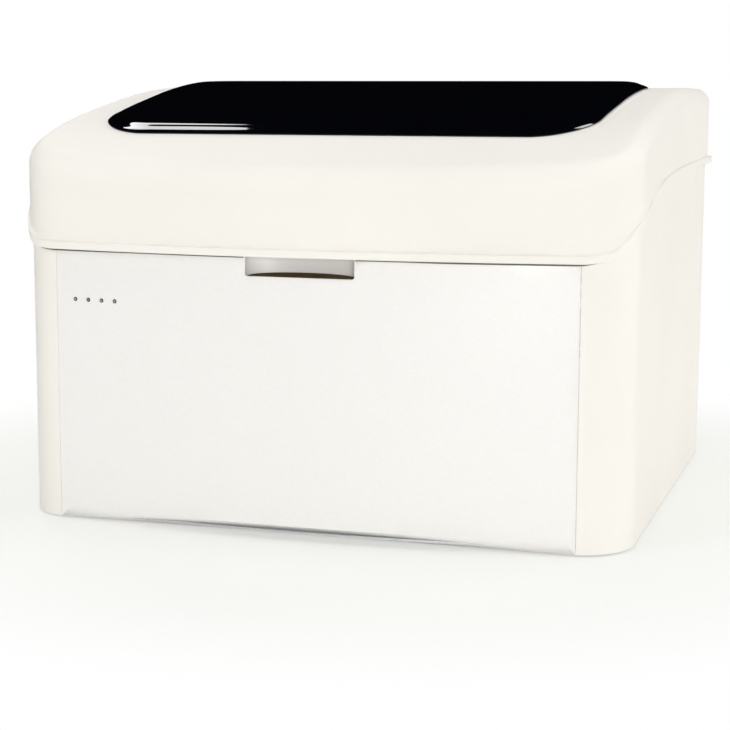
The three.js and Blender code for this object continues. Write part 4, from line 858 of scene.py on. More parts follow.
def on_front(form, part, along, height):
    """Part whose -Y faces forward, set on the bowed front at an arc length and a height."""
    angle = along / form.radius
    at = (form.radius * math.sin(angle),
          form.centre_y - form.radius * math.cos(angle) + form.shift, height)
    return placed(part, at, angle)


def lying(part):
    """Part turned so that its +Z points to the front."""
    return placed(part, matrix=Matrix.Rotation(QUARTER, 4, "X"))


class AddFront(PieceOperator):
    """Bowed front panel with its notch, the finger recess, and the lamps."""

    bl_idname = "analyzer.add_front"
    bl_label = "Front"

    def build(self, context, form):
        self.panel(form)
        self.recess(form)
        self.shadow_strip(form)
        self.lamps(form)

    def panel(self, form):
        casing = form.casing
        edge, radius, end = casing.edge, form.radius, form.start * form.radius - casing.seam
        rim = form.lid_line(-casing.bow) + RIM_OVERLAP
        floor, notch = form.shaded_recess_floor(), casing.recess_width / 2

        def bend(along, up, depth):
            """Arc length and height to a place. The strip before the right seam rolls inward."""
            roll = np.clip((along - end + ROLL_LENGTH) / ROLL_LENGTH, 0, 1) ** 2
            reach = radius - depth - roll * ROLL_DEPTH
            angle = along / radius
            return np.stack([reach * np.sin(angle),
                             form.centre_y - reach * np.cos(angle) + form.shift, up], -1)

        border = rounded([
            (-end, casing.skirt), (end, casing.skirt), (end, rim), (notch, rim), (notch, floor),
            (-notch, floor), (-notch, rim), (-end, rim)],
            mm(1, 1, 1, 1, 3, 3, 1, 1))
        holes = [circle(along, height, casing.lamp_radius + SEAT_GAP, 32)
                 for along, height in lamp_places(form)]
        piece("front_cover", plate([border] + holes, casing.wall, edge, bend, PLATE_SPACING),
              "pearl_panel", "front_panel")

    def recess(self, form):
        """Cup behind the notch: half an ellipse in plan, filled out by a power of its sine. Its wall
        is paler than the front panel, which paints light into the shaded recess.
        Its floor is a ramp that rises to the back, dark to paint the shade that falls on it."""
        casing = form.casing
        half = casing.recess_width / 2
        front = -casing.bow + casing.wall + SEAT_GAP + casing.recess_width ** 2 / (8 * form.radius)
        angle = np.linspace(0, math.pi, 97)
        edge = RECESS_EDGE

        def cup(grow):
            deep = (casing.recess_depth + grow) * np.sin(angle) ** CUP_FULLNESS
            return np.stack([(half + grow) * np.cos(angle), front + deep + form.shift], -1)

        bottom, top = form.shaded_recess_floor() - CUP_WALL, form.lid.line - SEAT_GAP
        rows = [(0, bottom), (0, top - edge), (edge * 0.3, top - edge * 0.3), (edge, top),
                (CUP_WALL, top), (CUP_WALL, bottom)]
        wall = np.stack([np.column_stack([cup(grow), np.full(len(angle), z)])
                         for grow, z in rows], 1)
        piece("painted_lit_recess_wall", facing_out(capped(wall)), "pearl_panel", "finger_cup", sharp=50,
              finish="painted_lit_recess_wall")
        # The floor's dark colour paints the shade that falls in the recess.
        verts, faces = prism(cup(-0.2 * MM), bottom, form.shaded_recess_floor() - 0.4 * MM, 0.3 * MM)
        back = (verts[:, 1] - form.shift - front) / casing.recess_depth
        verts[:, 2] += np.where(verts[:, 2] > bottom + 0.5 * MM, back * RECESS_RAMP, 0)
        extra("shaded_recess_floor", (verts, faces), "black_plastic", "finger_cup", finish="shaded_recess_floor")

    def shadow_strip(self, form):
        """Thin dark strip under the lid's edge that paints the shadow cast there, on both sides of the
        recess, and round the corners.
        The right one grows towards the right, and thins out in the corner, as that painted shadow
        does."""
        gap = form.casing.recess_width / 2 / form.radius + SHADOW_STRIP_GAP_ANGLE

        def left(offset):
            corner = mirrored(form.right_side(offset)[:SHADOW_STRIP_COLUMNS])[:-1]
            front = arc(0, form.centre_y, form.radius + offset, -form.start, -gap, 60)
            return np.concatenate([corner, front])

        def right(offset):
            corner = form.right_side(offset)[1:SHADOW_STRIP_COLUMNS]
            front = arc(0, form.centre_y, form.radius + offset, gap, form.start, 60)
            return np.concatenate([front, corner])

        parts = []
        for path in (left, right):
            base = path(0)
            top = form.lid_line(base[:, 1]) - SEAT_GAP
            share = np.clip(base[:, 0] / form.corner_x, -1, 1.3)
            high = SHADOW_STRIP_DROP * smooth_curve(SHADOW_STRIP_SHARES, share)
            section = [(-1 * MM, 1), (SHADOW_STRIP_PROUD * 0.7, 1), (SHADOW_STRIP_PROUD, 0.8), (SHADOW_STRIP_PROUD, 0),
                       (-1 * MM, 0)]
            rows = [np.column_stack([path(proud) + (0, form.shift), top - high * low])
                    for proud, low in section]
            parts.append(facing_out(capped(np.stack(rows, 1))))
        # Painted shadow under the lid's lip.
        extra("lid_shadow_strip", parts, "black_plastic", "front_panel", finish="lid_shadow_strip")

    def lamps(self, form):
        """Each lamp: a dark collar just proud of the panel, and a domed lens in it. A bar behind
        the panel carries them."""
        radius = form.casing.lamp_radius
        lens, deep, proud = radius * LENS_SHARE, LAMP_DEPTH, COLLAR_PROUD
        collar = lathe([(lens, -deep), (radius, -deep), (radius, proud), (lens, proud)], 32,
                       0.15 * MM)
        dome = [(lens * math.sin(a), LENS_BASE + LENS_DOME * math.cos(a))
                for a in np.linspace(QUARTER, 0, 7)]
        dome[-1] = (0, dome[-1][1])
        glass = lathe([(0, -deep), (lens * LENS_FIT, -deep)] + dome, 32)
        places = lamp_places(form)
        piece("lamp_collars", [on_front(form, lying(collar), *at) for at in places],
              "black_plastic", "indicator_light_guide")
        extra("lamp_lenses", [on_front(form, lying(glass), *at) for at in places],
              "black_plastic", "indicator_light_guide", finish="clear_plastic")
        middle = sum(along for along, _ in places) / len(places)
        bar = block(mm(-35, -2.5, -4), mm(35, 2.5, 4), 0.8 * MM)
        extra("lamp_bar", on_front(form, placed(bar, (0, 7 * MM)), middle, LAMP_HEIGHT),
              "black_plastic", "indicator_light_guide")


class AddSides(PieceOperator):
    """Side panels with the rounded front corners. Their rims follow the lid's lower edge."""

    bl_idname = "analyzer.add_sides"
    bl_label = "Sides"

    def build(self, context, form):
        casing = form.casing
        edge, wall = casing.edge, casing.wall

        def path(offset):
            """Right side, rolled inward over the first columns next to the seam."""
            points = form.right_side(offset)
            rolled = form.right_side(offset - ROLL_DEPTH)
            share = np.clip(1 - np.arange(len(points)) / ROLL_COLUMNS, 0, 1)[:, None] ** 2
            return points + (rolled - points) * share

        def rim(drop):
            return lambda y: form.lid_line(y) + RIM_OVERLAP - drop

        def foot(rise):
            return lambda y: np.full(len(y), casing.skirt + rise)

        rows = [(-edge, foot(0)), (-edge * 0.3, foot(edge * 0.3)), (0, foot(edge)),
                (0, rim(edge)), (-edge * 0.3, rim(edge * 0.3)), (-edge, rim(0)),
                (-wall, rim(0)), (-wall, foot(0))]
        right = facing_out(capped(form.outward(path, rows)))
        left = facing_out(capped(form.outward(form.right_side, rows) * (-1, 1, 1)))
        piece("right_cover", right, "cream_shell", "right_side_panel")
        piece("left_cover", left, "cream_shell", "left_side_panel")


LID_CLEARANCE = 0.6 * MM
LID_WALL = 2.4 * MM
LIP_FLARE = 3 * MM
SIDE_LIP_FLARE = 16 * MM
SIDE_LIP_REACH = 5.4 * MM
LIP_ROUND = 1.5 * MM
LIP_AT_REAR = 0.04
SIDE_LIP_START = -12 * MM
SIDE_LIP_GROWTH = 37 * MM
SIDE_LIP_FADE = 60 * MM
WINDOW_LAP = 9 * MM
WINDOW_THICKNESS = 5 * MM
WINDOW_EDGE_SHARES = ((0, 0.12), (0.12, 0.3), (0.5, 0.6), (0.85, 0.88), (1.2, 1))


class AddLid(PieceOperator):
    """Lid shell with its lip, and the dark window let into its top."""

    bl_idname = "analyzer.add_lid"
    bl_label = "Lid"

    def build(self, context, form):
        self.shell(form)
        self.window(form)

    def shell(self, form):
        """Closed section carried round the outline: lip, flare, wall, rounded edge, top, inside.
        At the sides the lip stands out less and runs into the wall by a longer flare."""
        casing, lid = form.casing, form.lid
        outer = LID_CLEARANCE + LID_WALL
        depth = form.outline(0)[:, 1]
        line = form.lid_line(depth)
        inner, full = form.outline(outer), form.outline(lid.lip_reach)
        fade = np.clip((inner[:, 1] - form.rear_y) / casing.rear_corner, 0, 1)
        keep = (LIP_AT_REAR + (1 - LIP_AT_REAR) * (1 - fade))[:, None]
        rows = []

        def add(points, height):
            rows.append(np.column_stack([points + (0, form.shift), height]))

        def lip(out):
            share = (out - outer) / (lid.lip_reach - outer)
            return inner + (full - inner) * share[:, None] * keep

        side = np.clip((depth - SIDE_LIP_START) / SIDE_LIP_GROWTH, 0, 1)
        side = side * np.clip((form.rear_y - depth) / SIDE_LIP_FADE, 0, 1)
        side = side ** 2 * (3 - 2 * side)
        reach = lid.lip_reach - (lid.lip_reach - SIDE_LIP_REACH) * side
        flare = LIP_FLARE + (SIDE_LIP_FLARE - LIP_FLARE) * side
        high, soft = lid.lip_height, LIP_ROUND
        ledge = soft + (reach - outer - 2 * soft) * side
        for a in np.linspace(-QUARTER, 0, 6):
            add(lip(reach - soft * (1 - math.cos(a))), line + soft * (1 + math.sin(a)))
        for a in np.linspace(0, QUARTER, 6):
            add(lip(reach - soft * (1 - math.cos(a))), line + high - soft * (1 - math.sin(a)))
        for a in np.linspace(0, QUARTER, 9):
            add(lip(outer + ledge * (1 - math.sin(a))), line + high + flare * (1 - math.cos(a)))
        for a in np.linspace(0, QUARTER, 13):
            inset = lid.edge_radius * (1 - math.cos(a))
            points = form.outline(outer - inset)
            add(points, form.lid_top(points[:, 1]) - lid.edge_radius * (1 - math.sin(a)))
        shoulder = form.outline(outer - lid.edge_radius)
        opening = form.window_outline(WINDOW_LAP)
        for share in np.linspace(0, 1, 13)[1:]:
            points = shoulder + (opening - shoulder) * share
            add(points, form.lid_top(points[:, 1]))
        for share in np.linspace(1, 0, 9):
            points = shoulder + (opening - shoulder) * share
            add(points, form.lid_top(points[:, 1]) - LID_WALL)
        wall = form.outline(LID_CLEARANCE)
        add(wall, form.lid_top(wall[:, 1]) - lid.edge_radius)
        add(wall, line)
        shell = facing_out(grid(np.stack(rows, 1), wrap_u=True, wrap_v=True))
        piece("lid_cover", shell, "cream_shell", "lid_shell", sharp=50, even=False)

    def window(self, form):
        """Rounded border that climbs to a face which follows the lid's top."""
        lid = form.lid
        rise, middle = lid.window_rise, (lid.window_front + lid.window_rear) / 2
        rows = []

        def add(points, over):
            rows.append(np.column_stack([points + (0, form.shift), form.lid_top(points[:, 1]) + over]))

        def toward(points, share):
            return (points - (0, middle)) * share + (0, middle)

        inner = form.window_outline(WINDOW_LAP + 2 * SEAT_GAP)
        for share in np.linspace(0, 1, 13)[1:]:
            add(toward(inner, share), rise - WINDOW_THICKNESS)
        add(inner, SEAT_GAP)
        add(form.window_outline(SEAT_GAP), SEAT_GAP)
        for share in np.linspace(0, WINDOW_EDGE_SHARES[-1][0], 17):
            over = SEAT_GAP + (rise - SEAT_GAP) * float(smooth_curve(WINDOW_EDGE_SHARES, share))
            brim = form.window_outline(share * lid.window_bevel)
            add(brim, over)
        for share in np.linspace(1, 0, 33)[1:-1]:
            add(toward(brim, share), rise)
        glass = facing_out(capped(np.array(rows)))
        piece("dark_window", glass, "window_gloss", "lid_window", sharp=50, even=False)


def edges_of(name):
    """Lowest and highest corner of a CAD node, as arrays."""
    low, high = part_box(name)
    return np.array(low), np.array(high)


def middle_of(name):
    return sum(edges_of(name)) / 2


def centre_of(name):
    """Middle of a CAD node seen from above."""
    return middle_of(name)[:2]


def screw(radius=3 * MM, height=2 * MM):
    """Pan head that stands on its own origin, with a round socket."""
    return lathe([(0, height * 0.4), (radius * 0.42, height * 0.4), (radius * 0.46, height),
                  (radius * 0.7, height * 0.95), (radius, height * 0.45), (radius, 0), (0, 0)],
                 28, 0.12 * MM, 2)


def on_rear(part, x, z, y):
    """Part whose +Z is turned to the rear, at a place on a rear face."""
    return placed(part, matrix=Matrix.Translation((x, y, z)) @ Matrix.Rotation(-QUARTER, 4, "X"))


GROOVE = 1.2 * MM
FOOT_GROOVES = (0.62, 0.74, 0.86)


class AddFeet(PieceOperator):
    """Rubber feet with a cupped, grooved sole."""

    bl_idname = "analyzer.add_feet"
    bl_label = "Feet"

    def build(self, context, form):
        for place in ("front_left", "front_right", "rear_left", "rear_right"):
            low, high = edges_of("foot_" + place)
            radius, top = (high[0] - low[0]) / 2, high[2]
            profile = [(0, 1.5 * MM), (radius * 0.4, 1.2 * MM), (radius * 0.5, 0)]
            for share in FOOT_GROOVES:
                profile += [(radius * share + GROOVE * across, GROOVE * up)
                            for across, up in ((0, 0), (0.2, 1), (1, 1), (1.2, 0))]
            profile += [(radius - 2 * MM, 0), (radius, 2.5 * MM), (radius - 0.4 * MM, 4 * MM),
                        (radius - 1.5 * MM, top), (0, top)]
            piece(place + "_foot", lathe(profile, 72, 0.3 * MM, 2), "foot_rubber",
                  "foot_" + place, centre_of("foot_" + place))


REAR_GAP = 0.3 * MM
SUNK = 0.05 * MM
REAR_SCREW_INSET = (12 * MM, 10 * MM)
SLOT_PITCH = 10 * MM
SLOT_HEIGHT = 4 * MM
SLOT_ROUNDNESS = 0.98
VENT_WIDTH = 110 * MM
VENT_HEIGHT = 300 * MM
VENT_SLOTS = 7
FAN_SLOTS = 8
FAN_RADIUS = 41 * MM
GUARD_WIRE = 0.35 * MM
REAR_SCREW_TOP = 385 * MM
PORT_PLACES = (-78 * MM, -40 * MM, -2 * MM)
PORT_HEIGHT = 120 * MM
PORT_PLATE = (65 * MM, 22 * MM)
PORT_PLATE_THICKNESS = 2 * MM
NIPPLE_BARBS = (
    (3, 0), (6.8, 0), (6.8, 0.24), (4.5, 0.26), (4.5, 0.36), (5.7, 0.38), (4.3, 0.56), (5.6, 0.58),
    (4.2, 0.76), (5.4, 0.78), (3.9, 1), (3, 1))
INLET_INSET = 4 * MM
BLADE_LENGTH = 15.5 * MM
BLADE_PLACES = ((-7, -2), (0, 2), (7, -2))
SOCKET_HEIGHT = 74.5 * MM
SOCKET_DEPTH = 18 * MM
FLANGE = 1.7 * MM
ROCKER_PIVOT = (-230 * MM, 321.5 * MM, 105.5 * MM)


def upright(face):
    """Bend of an upright sheet with its face to the rear: depth counts forward from there."""
    return lambda x, up, depth: np.stack([x, face - depth, up], -1)


class AddRear(PieceOperator):
    """Rear panel with its slots, the power entry and rocker, the fan guard and the fluid ports."""

    bl_idname = "analyzer.add_rear"
    bl_label = "Rear"

    def build(self, context, form):
        self.face = form.casing.depth + form.shift
        self.panel(form)
        self.entry()
        self.rocker()
        self.ports()
        self.guard()

    def slots(self, x, z, width, count):
        """Level slots with round ends, one above the other."""
        half, high = width / 2, SLOT_HEIGHT / 2
        middles = z + (np.arange(count) - (count - 1) / 2) * SLOT_PITCH
        return [rectangle((x - half, at - high), (x + half, at + high), high * SLOT_ROUNDNESS, 5)
                for at in middles]

    def panel(self, form):
        low, high = edges_of("rear_panel")
        inlet_low, inlet_high = edges_of("power_entry")
        fan, bezel = middle_of("fan_frame"), INLET_INSET - REAR_GAP
        loops = [rectangle(low[::2], high[::2], 1.5 * MM)]
        loops += self.slots(fan[0], fan[2], FAN_RADIUS * 2, FAN_SLOTS)
        for x in (-fan[0], fan[0]):
            loops += self.slots(x, VENT_HEIGHT, VENT_WIDTH, VENT_SLOTS)
        loops.append(rectangle(inlet_low[::2] + bezel, inlet_high[::2] - bezel, 1 * MM))
        loops += [circle(x, PORT_HEIGHT, 6 * MM, 32) for x in PORT_PLACES]
        piece("rear_cover", plate(loops, form.casing.wall, 0.5 * MM, upright(self.face)),
              "cream_shell", "rear_panel")
        head = screw(3.2 * MM, 1.6 * MM)
        across, up = REAR_SCREW_INSET
        extra("rear_screws", [on_rear(head, x, z, self.face)
                              for x in (low[0] + across, 0, high[0] - across)
                              for z in (low[2] + up, REAR_SCREW_TOP)],
              "bare_steel", "rear_panel")

    def entry(self):
        """Flanged inlet body with a socket, its three blades, and a pocket for the rocker."""
        low, high = edges_of("power_entry")
        x, rear = (low[0] + high[0]) / 2, high[1]
        deep = rear - FLANGE - SOCKET_DEPTH
        outer = rectangle(low[::2], high[::2], 2 * MM)
        body = rectangle(low[::2] + INLET_INSET, high[::2] - INLET_INSET, 1 * MM)
        corners = mm((-13, -9), (13, -9), (13, 4), (8, 9), (-8, 9), (-13, 4))
        socket = rounded(corners + (x, SOCKET_HEIGHT), 1.5 * MM, 4)
        rocker, half = np.array([x, middle_of("rocker_switch")[2]]), mm(8, 12)
        pocket = rectangle(rocker - half, rocker + half, 0.8 * MM)
        piece("inlet_body", [
            plate([outer, socket, pocket], FLANGE, 0.5 * MM, upright(rear)),
            plate([body, socket, pocket], SOCKET_DEPTH, 0, upright(rear - FLANGE + SUNK)),
            plate([body], deep - low[1], 0.6 * MM, upright(deep + 0.1 * MM))],
            "black_plastic", "power_entry")
        blade = prism(rectangle(mm(-1, -2), mm(1, 2), 0.4 * MM), 0, BLADE_LENGTH, 0.5 * MM)
        extra("inlet_blades", [on_rear(blade, x + across * MM, SOCKET_HEIGHT + up * MM, deep)
                               for across, up in BLADE_PLACES],
              "bare_steel", "power_entry")

    def rocker(self):
        """Key with two faces that meet in a shallow V."""
        low, high = edges_of("rocker_switch")
        half = (high[0] - low[0]) / 2
        side = rounded(mm((-10.5, 2.5), (0, 4), (10.5, 5.5), (8.4, -7), (-8.4, -7)),
                       mm(1.2, 3, 1.2, 1, 1), 6)
        bar = prism(side[:, ::-1], -half, half, 0.8 * MM, 4)
        x, y, z = ROCKER_PIVOT
        turned = Matrix(((0, 0, 1, x), (1, 0, 0, y), (0, 1, 0, z), (0, 0, 0, 1)))
        piece("rocker_key", placed(bar, matrix=turned), "black_plastic", "rocker_switch")

    def ports(self):
        """Moulded plate with three barbed hose nipples."""
        face = self.face + REAR_GAP
        middle, half = np.array([PORT_PLACES[1], PORT_HEIGHT]), np.array(PORT_PLATE)
        base = rectangle(middle - half, middle + half, 5 * MM)
        holes = [circle(x, PORT_HEIGHT, 3 * MM, 24) for x in PORT_PLACES]
        length = edges_of("fluid_port_plate")[1][1] - face - 1 * MM
        nipple = lathe([(r * MM, share * length) for r, share in NIPPLE_BARBS], 40, 0.2 * MM, 2)
        thick = PORT_PLATE_THICKNESS
        parts = [plate([base] + holes, thick, 0.6 * MM, upright(face + thick))]
        parts += [on_rear(nipple, x, PORT_HEIGHT, face + 1 * MM) for x in PORT_PLACES]
        piece("hose_ports", parts, "white_plastic", "fluid_port_plate")
        corners = [middle + mm(x, z) for x in (-58, 58) for z in (-15, 15)]
        extra("port_screws", [on_rear(screw(), x, z, face + thick) for x, z in corners],
              "bare_steel", "fluid_port_plate")

    def guard(self):
        """Wire rings and spokes behind the slots, as on a finger guard."""
        low, high = edges_of("fan_frame")
        centre = (low + high) / 2
        centre[1] = high[1] + 0.4 * MM

        def wire(shares, angles):
            out = np.stack(np.broadcast_arrays(np.cos(angles), 0, np.sin(angles)), -1)
            return tube(centre + out * FAN_RADIUS * np.reshape(shares, (-1, 1)), GUARD_WIRE, 6)

        turn = np.linspace(0, 2 * math.pi, 65)
        wires = [wire(share, turn) for share in (0.3, 0.55, 0.8, 1)]
        wires += [wire((0.28, 0.6, 1), np.full(3, angle)) for angle in QUARTER * (np.arange(4) + 0.5)]
        extra("fan_guard", wires, "bare_steel", "fan_frame")


PIN_RADIUS = 2 * MM
KNUCKLE = (2.1 * MM, 4.5 * MM)
HINGE_NECK = 10 * MM
HINGE_GAP = 0.4 * MM
LEAF_HALF = 30 * MM
LEAF_THICKNESS = 2 * MM
LEAF_ABOVE_PIN = 4.9 * MM
LEAF_SCREWS = (22 * MM, 9 * MM)
LEAF_NOTCH = 5 * MM
BODY_LEAF_DEPTH = 628.3 * MM
LID_LEAF_DEPTH = 631.3 * MM


class AddHinges(PieceOperator):
    """Lid hinges: leaves with rolled knuckles and screws, and pins with domed ends."""

    bl_idname = "analyzer.add_hinges"
    bl_label = "Hinges"

    def build(self, context, form):
        for side in ("left", "right"):
            low, high = edges_of(f"hinge_pin_{side}")
            pivot, half = (low + high) / 2, (high[0] - low[0]) / 2
            along = Matrix.Translation(Vector(pivot)) @ Matrix.Rotation(QUARTER, 4, "Y")
            pin = lathe([(0, -half), (PIN_RADIUS, -half), (PIN_RADIUS, half), (0, half)], 32,
                        0.8 * MM)
            piece(f"{side}_hinge_pin", placed(pin, matrix=along), "bare_steel",
                  f"hinge_pin_{side}")
            gap = HINGE_NECK + HINGE_GAP
            for kind, depth, spans in (
                    ("body", BODY_LEAF_DEPTH, [(-half, -gap), (gap, half)]),
                    ("lid", LID_LEAF_DEPTH, [(-HINGE_NECK, HINGE_NECK)])):
                name = f"hinge_{kind}_leaf_{side}"
                parts = self.leaf(name, kind, pivot, depth + form.shift)
                for start, end in spans:
                    knuckle = lathe([(KNUCKLE[0], start), (KNUCKLE[1], start), (KNUCKLE[1], end),
                                     (KNUCKLE[0], end)], 40, 0.4 * MM, 3)
                    parts.append(placed(knuckle, matrix=along))
                piece(f"{side}_{kind}_leaf", parts, "bare_steel", name)

    def leaf(self, name, kind, pivot, face):
        """Plate on the panel's outside with its screws. The lid's has a neck down to the pin,
        and the body's a gap for that neck."""
        low, high = edges_of(name)
        gap = HINGE_NECK + HINGE_GAP
        if kind == "lid":
            bottom, top = pivot[2] + LEAF_ABOVE_PIN, high[2]
            half_loop = [(HINGE_NECK, pivot[2]), (HINGE_NECK, bottom), (LEAF_HALF, bottom),
                         (LEAF_HALF, top)]
            radius = np.full(8, 1.5 * MM)
        else:
            bottom, top = low[2], pivot[2]
            half_loop = [(LEAF_HALF, bottom), (LEAF_HALF, top), (gap, top), (gap, top - LEAF_NOTCH)]
            radius = mm(4, 4, 0.8, 0.8, 1, 1, 0.8, 0.8)
        half_loop = np.array(half_loop)
        loop = np.roll(np.concatenate([half_loop, mirrored(half_loop)]), 1, axis=0) + (pivot[0], 0)
        parts = [plate([rounded(loop, radius, 4)], LEAF_THICKNESS, 0.3 * MM,
                       upright(face + LEAF_THICKNESS))]
        (across, up), middle = LEAF_SCREWS, (bottom + top) / 2
        head = screw(3 * MM, 1 * MM)
        return parts + [on_rear(head, pivot[0] + x, middle + z, face + LEAF_THICKNESS - SUNK)
                        for x in (-across, across) for z in (-up, up)]


STAY_X = 316 * MM
STAY_BODY_STUD = (400 * MM, 312 * MM)
STAY_LID_STUD = (540 * MM, 451 * MM)
STAY_EYE = 7 * MM
BRACKET_THICKNESS = 3 * MM
CROSS_MEMBER_GAP = 0.3 * MM


class AddStay(PieceOperator):
    """Gas stay on its two ball studs, and the cross member inside the lid's front."""

    bl_idname = "analyzer.add_stay"
    bl_label = "Stay and cross member"

    def build(self, context, form):
        start, end = (Vector((STAY_X, y + form.shift, z))
                      for y, z in (STAY_BODY_STUD, STAY_LID_STUD))
        length = (end - start).length
        turned = (end - start).to_track_quat("Z", "Y").to_matrix().to_4x4()
        along = Matrix.Translation(start) @ turned
        barrel = lathe(mm((8, 11), (8, 167), (7.4, 169.5), (4.5, 169.5), (4.5, 40), (4, 9.5)), 40,
                       0.3 * MM)
        sleeve = lathe(mm((0, 5), (4, 5), (4, 14), (0, 14)), 32, 0.3 * MM)
        piece("stay_barrel_cover", [placed(barrel, matrix=along), placed(sleeve, matrix=along),
              self.eye(start)], "black_plastic", "stay_cylinder")
        tip = length - 5 * MM
        rod = lathe([(0, 31 * MM), (4 * MM, 31 * MM), (4 * MM, tip), (0, tip)], 40, 0.8 * MM)
        piece("stay_rod_shaft", [placed(rod, matrix=along), self.eye(end)], "bare_steel", "stay_rod")
        self.bracket("stay_bracket_body", start)
        self.bracket("stay_bracket_lid", end)
        self.cross_member(form)

    def bracket(self, name, stud):
        """Plate on the wall, and a ball stud that stands on it and passes through the eye."""
        wall = edges_of(name)[1][0]
        reach = wall - STAY_X
        ball = lathe([(0, 7.3 * MM), (3.2 * MM, 7.3 * MM), (4 * MM, 9 * MM), (4 * MM, 11 * MM),
                      (3 * MM, 12 * MM), (3 * MM, reach - 3 * MM), (5.5 * MM, reach - 2.5 * MM),
                      (0, reach - 2.5 * MM)], 32, 0.3 * MM)
        across = Matrix.Translation(stud) @ Matrix.Rotation(QUARTER, 4, "Y")
        place = np.array(stud[1:])
        plan = rectangle(place + mm(-14, -7), place + mm(14, 14), 4 * MM)

        def bend(y, up, depth):
            return np.stack([wall - BRACKET_THICKNESS + depth, y, up], -1)

        plane = plate([plan], BRACKET_THICKNESS, 0.5 * MM, bend)
        piece(name + "_plate", [placed(ball, matrix=across), plane], "dark_metal", name)

    def eye(self, at):
        """Socket end: a drum on the stud's line with a waist and soft rims."""
        profile = [(0, -1), (0.7, -1), (1, -0.75), (1, 0.75), (0.7, 1), (0, 1)]
        drum = lathe(np.array(profile) * STAY_EYE, 40, 1 * MM)
        return placed(drum, matrix=Matrix.Translation(at) @ Matrix.Rotation(QUARTER, 4, "Y"))

    def cross_member(self, form):
        """Hat section swept along the lid's bowed front wall."""
        low, high = edges_of("lid_stiffener")
        deep, bottom, top = 14 * MM, low[2], high[2]
        middle = (bottom + top) / 2
        section = rounded([
            (0, bottom), (0, top), (deep * 0.3, top), (deep * 0.4, top - 3 * MM),
            (deep, top - 3.6 * MM), (deep, middle + 1.5 * MM), (deep * 0.8, middle + 1.2 * MM),
            (deep * 0.8, middle - 1.2 * MM), (deep, middle - 1.5 * MM), (deep, bottom + 3.6 * MM),
            (deep * 0.4, bottom + 3 * MM), (deep * 0.3, bottom)], 0.7 * MM, 3)
        radius = form.radius + CROSS_MEMBER_GAP
        angle = np.linspace(-1, 1, 121)[:, None] * math.asin(high[0] / radius)
        reach = radius - section[:, 0]
        points = np.stack([
            np.sin(angle) * reach, form.centre_y + form.shift - np.cos(angle) * reach,
            np.broadcast_to(section[:, 1], (len(angle), len(section)))], -1)
        piece("lid_cross_member", facing_out(capped(points)), "dark_metal", "lid_stiffener")


DECK_TOP = 300 * MM
DECK_SEAT = DECK_TOP + SEAT_GAP
DECK_THICKNESS = 4 * MM
DECK_INSET = 3.5 * MM
CUP_NOTCH = (64 * MM, -6.5 * MM)
CAROUSEL_RADIUS = 153 * MM
RING_RADIUS = 115 * MM
DISC_TOP = 304 * MM
DISC_RADIUS = 150 * MM
DISC_THICKNESS = 4 * MM
CROWN_RADII = (112 * MM, 88 * MM)
CROWN_HEIGHT = 30 * MM
HUB_SCREW_CIRCLE = 16 * MM
HUB_SCREW_HEIGHT = 308.2 * MM
HUB_SCREW_ANGLES = (0.5, 2.6, 4.7)
DECK_HOLES = (("probe_sleeve", 20.5 * MM), ("mixer_sleeve", 16.5 * MM),
              ("probe_wash_pot", 12.5 * MM), ("mixer_wash_pot", 12.5 * MM))
DECK_SCREWS = tuple((x, y) for x in (-325, 325) for y in (90, 330, 570)) + tuple(
    (x, 600) for x in (-200, 0, 200))
DECK_SPACING = 30 * MM
POT_RADIUS = 12 * MM
POT_BORE = 9.5 * MM
POT_RIM = 14.5 * MM
TUBE_COUNT = 12
TUBE_CIRCLE = 135 * MM
TUBE_BORE = 8 * MM
BOTTLE_COUNT = 6
BOTTLE_NECK = (81 * MM, 0)
BOTTLE_SHOULDER = 325 * MM
POCKET_NEAR = 46 * MM
POCKET_FAR = 116 * MM
POCKET_HALF_ANGLE = math.radians(12)
CELL_COUNT = 36
CELL_CIRCLE = 100 * MM
CELL_PHASE = math.radians(-110.85)
WASH_POST_CIRCLE = 151 * MM
RAIL_TOP = 414 * MM
MANIFOLD_HEIGHTS = (362 * MM, 378 * MM)
MANIFOLD_HALF_ANGLE = math.radians(35)
PROBE_REACH = 160.0316 * MM
PROBE_TO_TUBE = math.radians(165.09)
PROBE_ARM_BOTTOM = 400 * MM
MIXER_REACH = 110.114 * MM
MIXER_ARM_BOTTOM = 396 * MM
ARM_TIP = 10 * MM
TRAY_SHARE = 0.4
HIGH_CROWN = (4.5 * MM, 8)
LOW_CROWN = (3 * MM, 6)


def polar_points(radius, start, end, count):
    angle = np.linspace(start, end, count)
    return np.stack([radius * np.cos(angle), radius * np.sin(angle)], -1)


def spun(loop, angle):
    """Loop turned about the origin."""
    c, s = math.cos(angle), math.sin(angle)
    return loop @ np.array([[c, s], [-s, c]])


def wedge(near, far, half_angle, inset=0, corner=4 * MM):
    """Sector between two radii, moved in by an inset and with rounded corners."""
    start = half_angle - inset / near
    outer = half_angle - inset / far
    loop = np.concatenate([
        polar_points(near + inset, -start, start, 9)[::-1],
        polar_points(far - inset, -outer, outer, 13)])
    radius = np.zeros(len(loop))
    radius[[0, 8, 9, 21]] = corner
    return rounded(loop, radius, 6)


def ribbed(part, count, depth, beyond):
    """Part whose upright ribs are cut into all that lies beyond a radius."""
    verts, faces = part
    radius = np.linalg.norm(verts[:, :2], axis=1)
    angle = np.arctan2(verts[:, 1], verts[:, 0])
    cut = depth * (0.5 - 0.5 * np.cos(count * angle)) * (radius > beyond)
    scale = (radius - cut) / np.maximum(radius, 1e-9)
    return verts * np.stack([scale, scale, np.ones(len(verts))], -1), faces


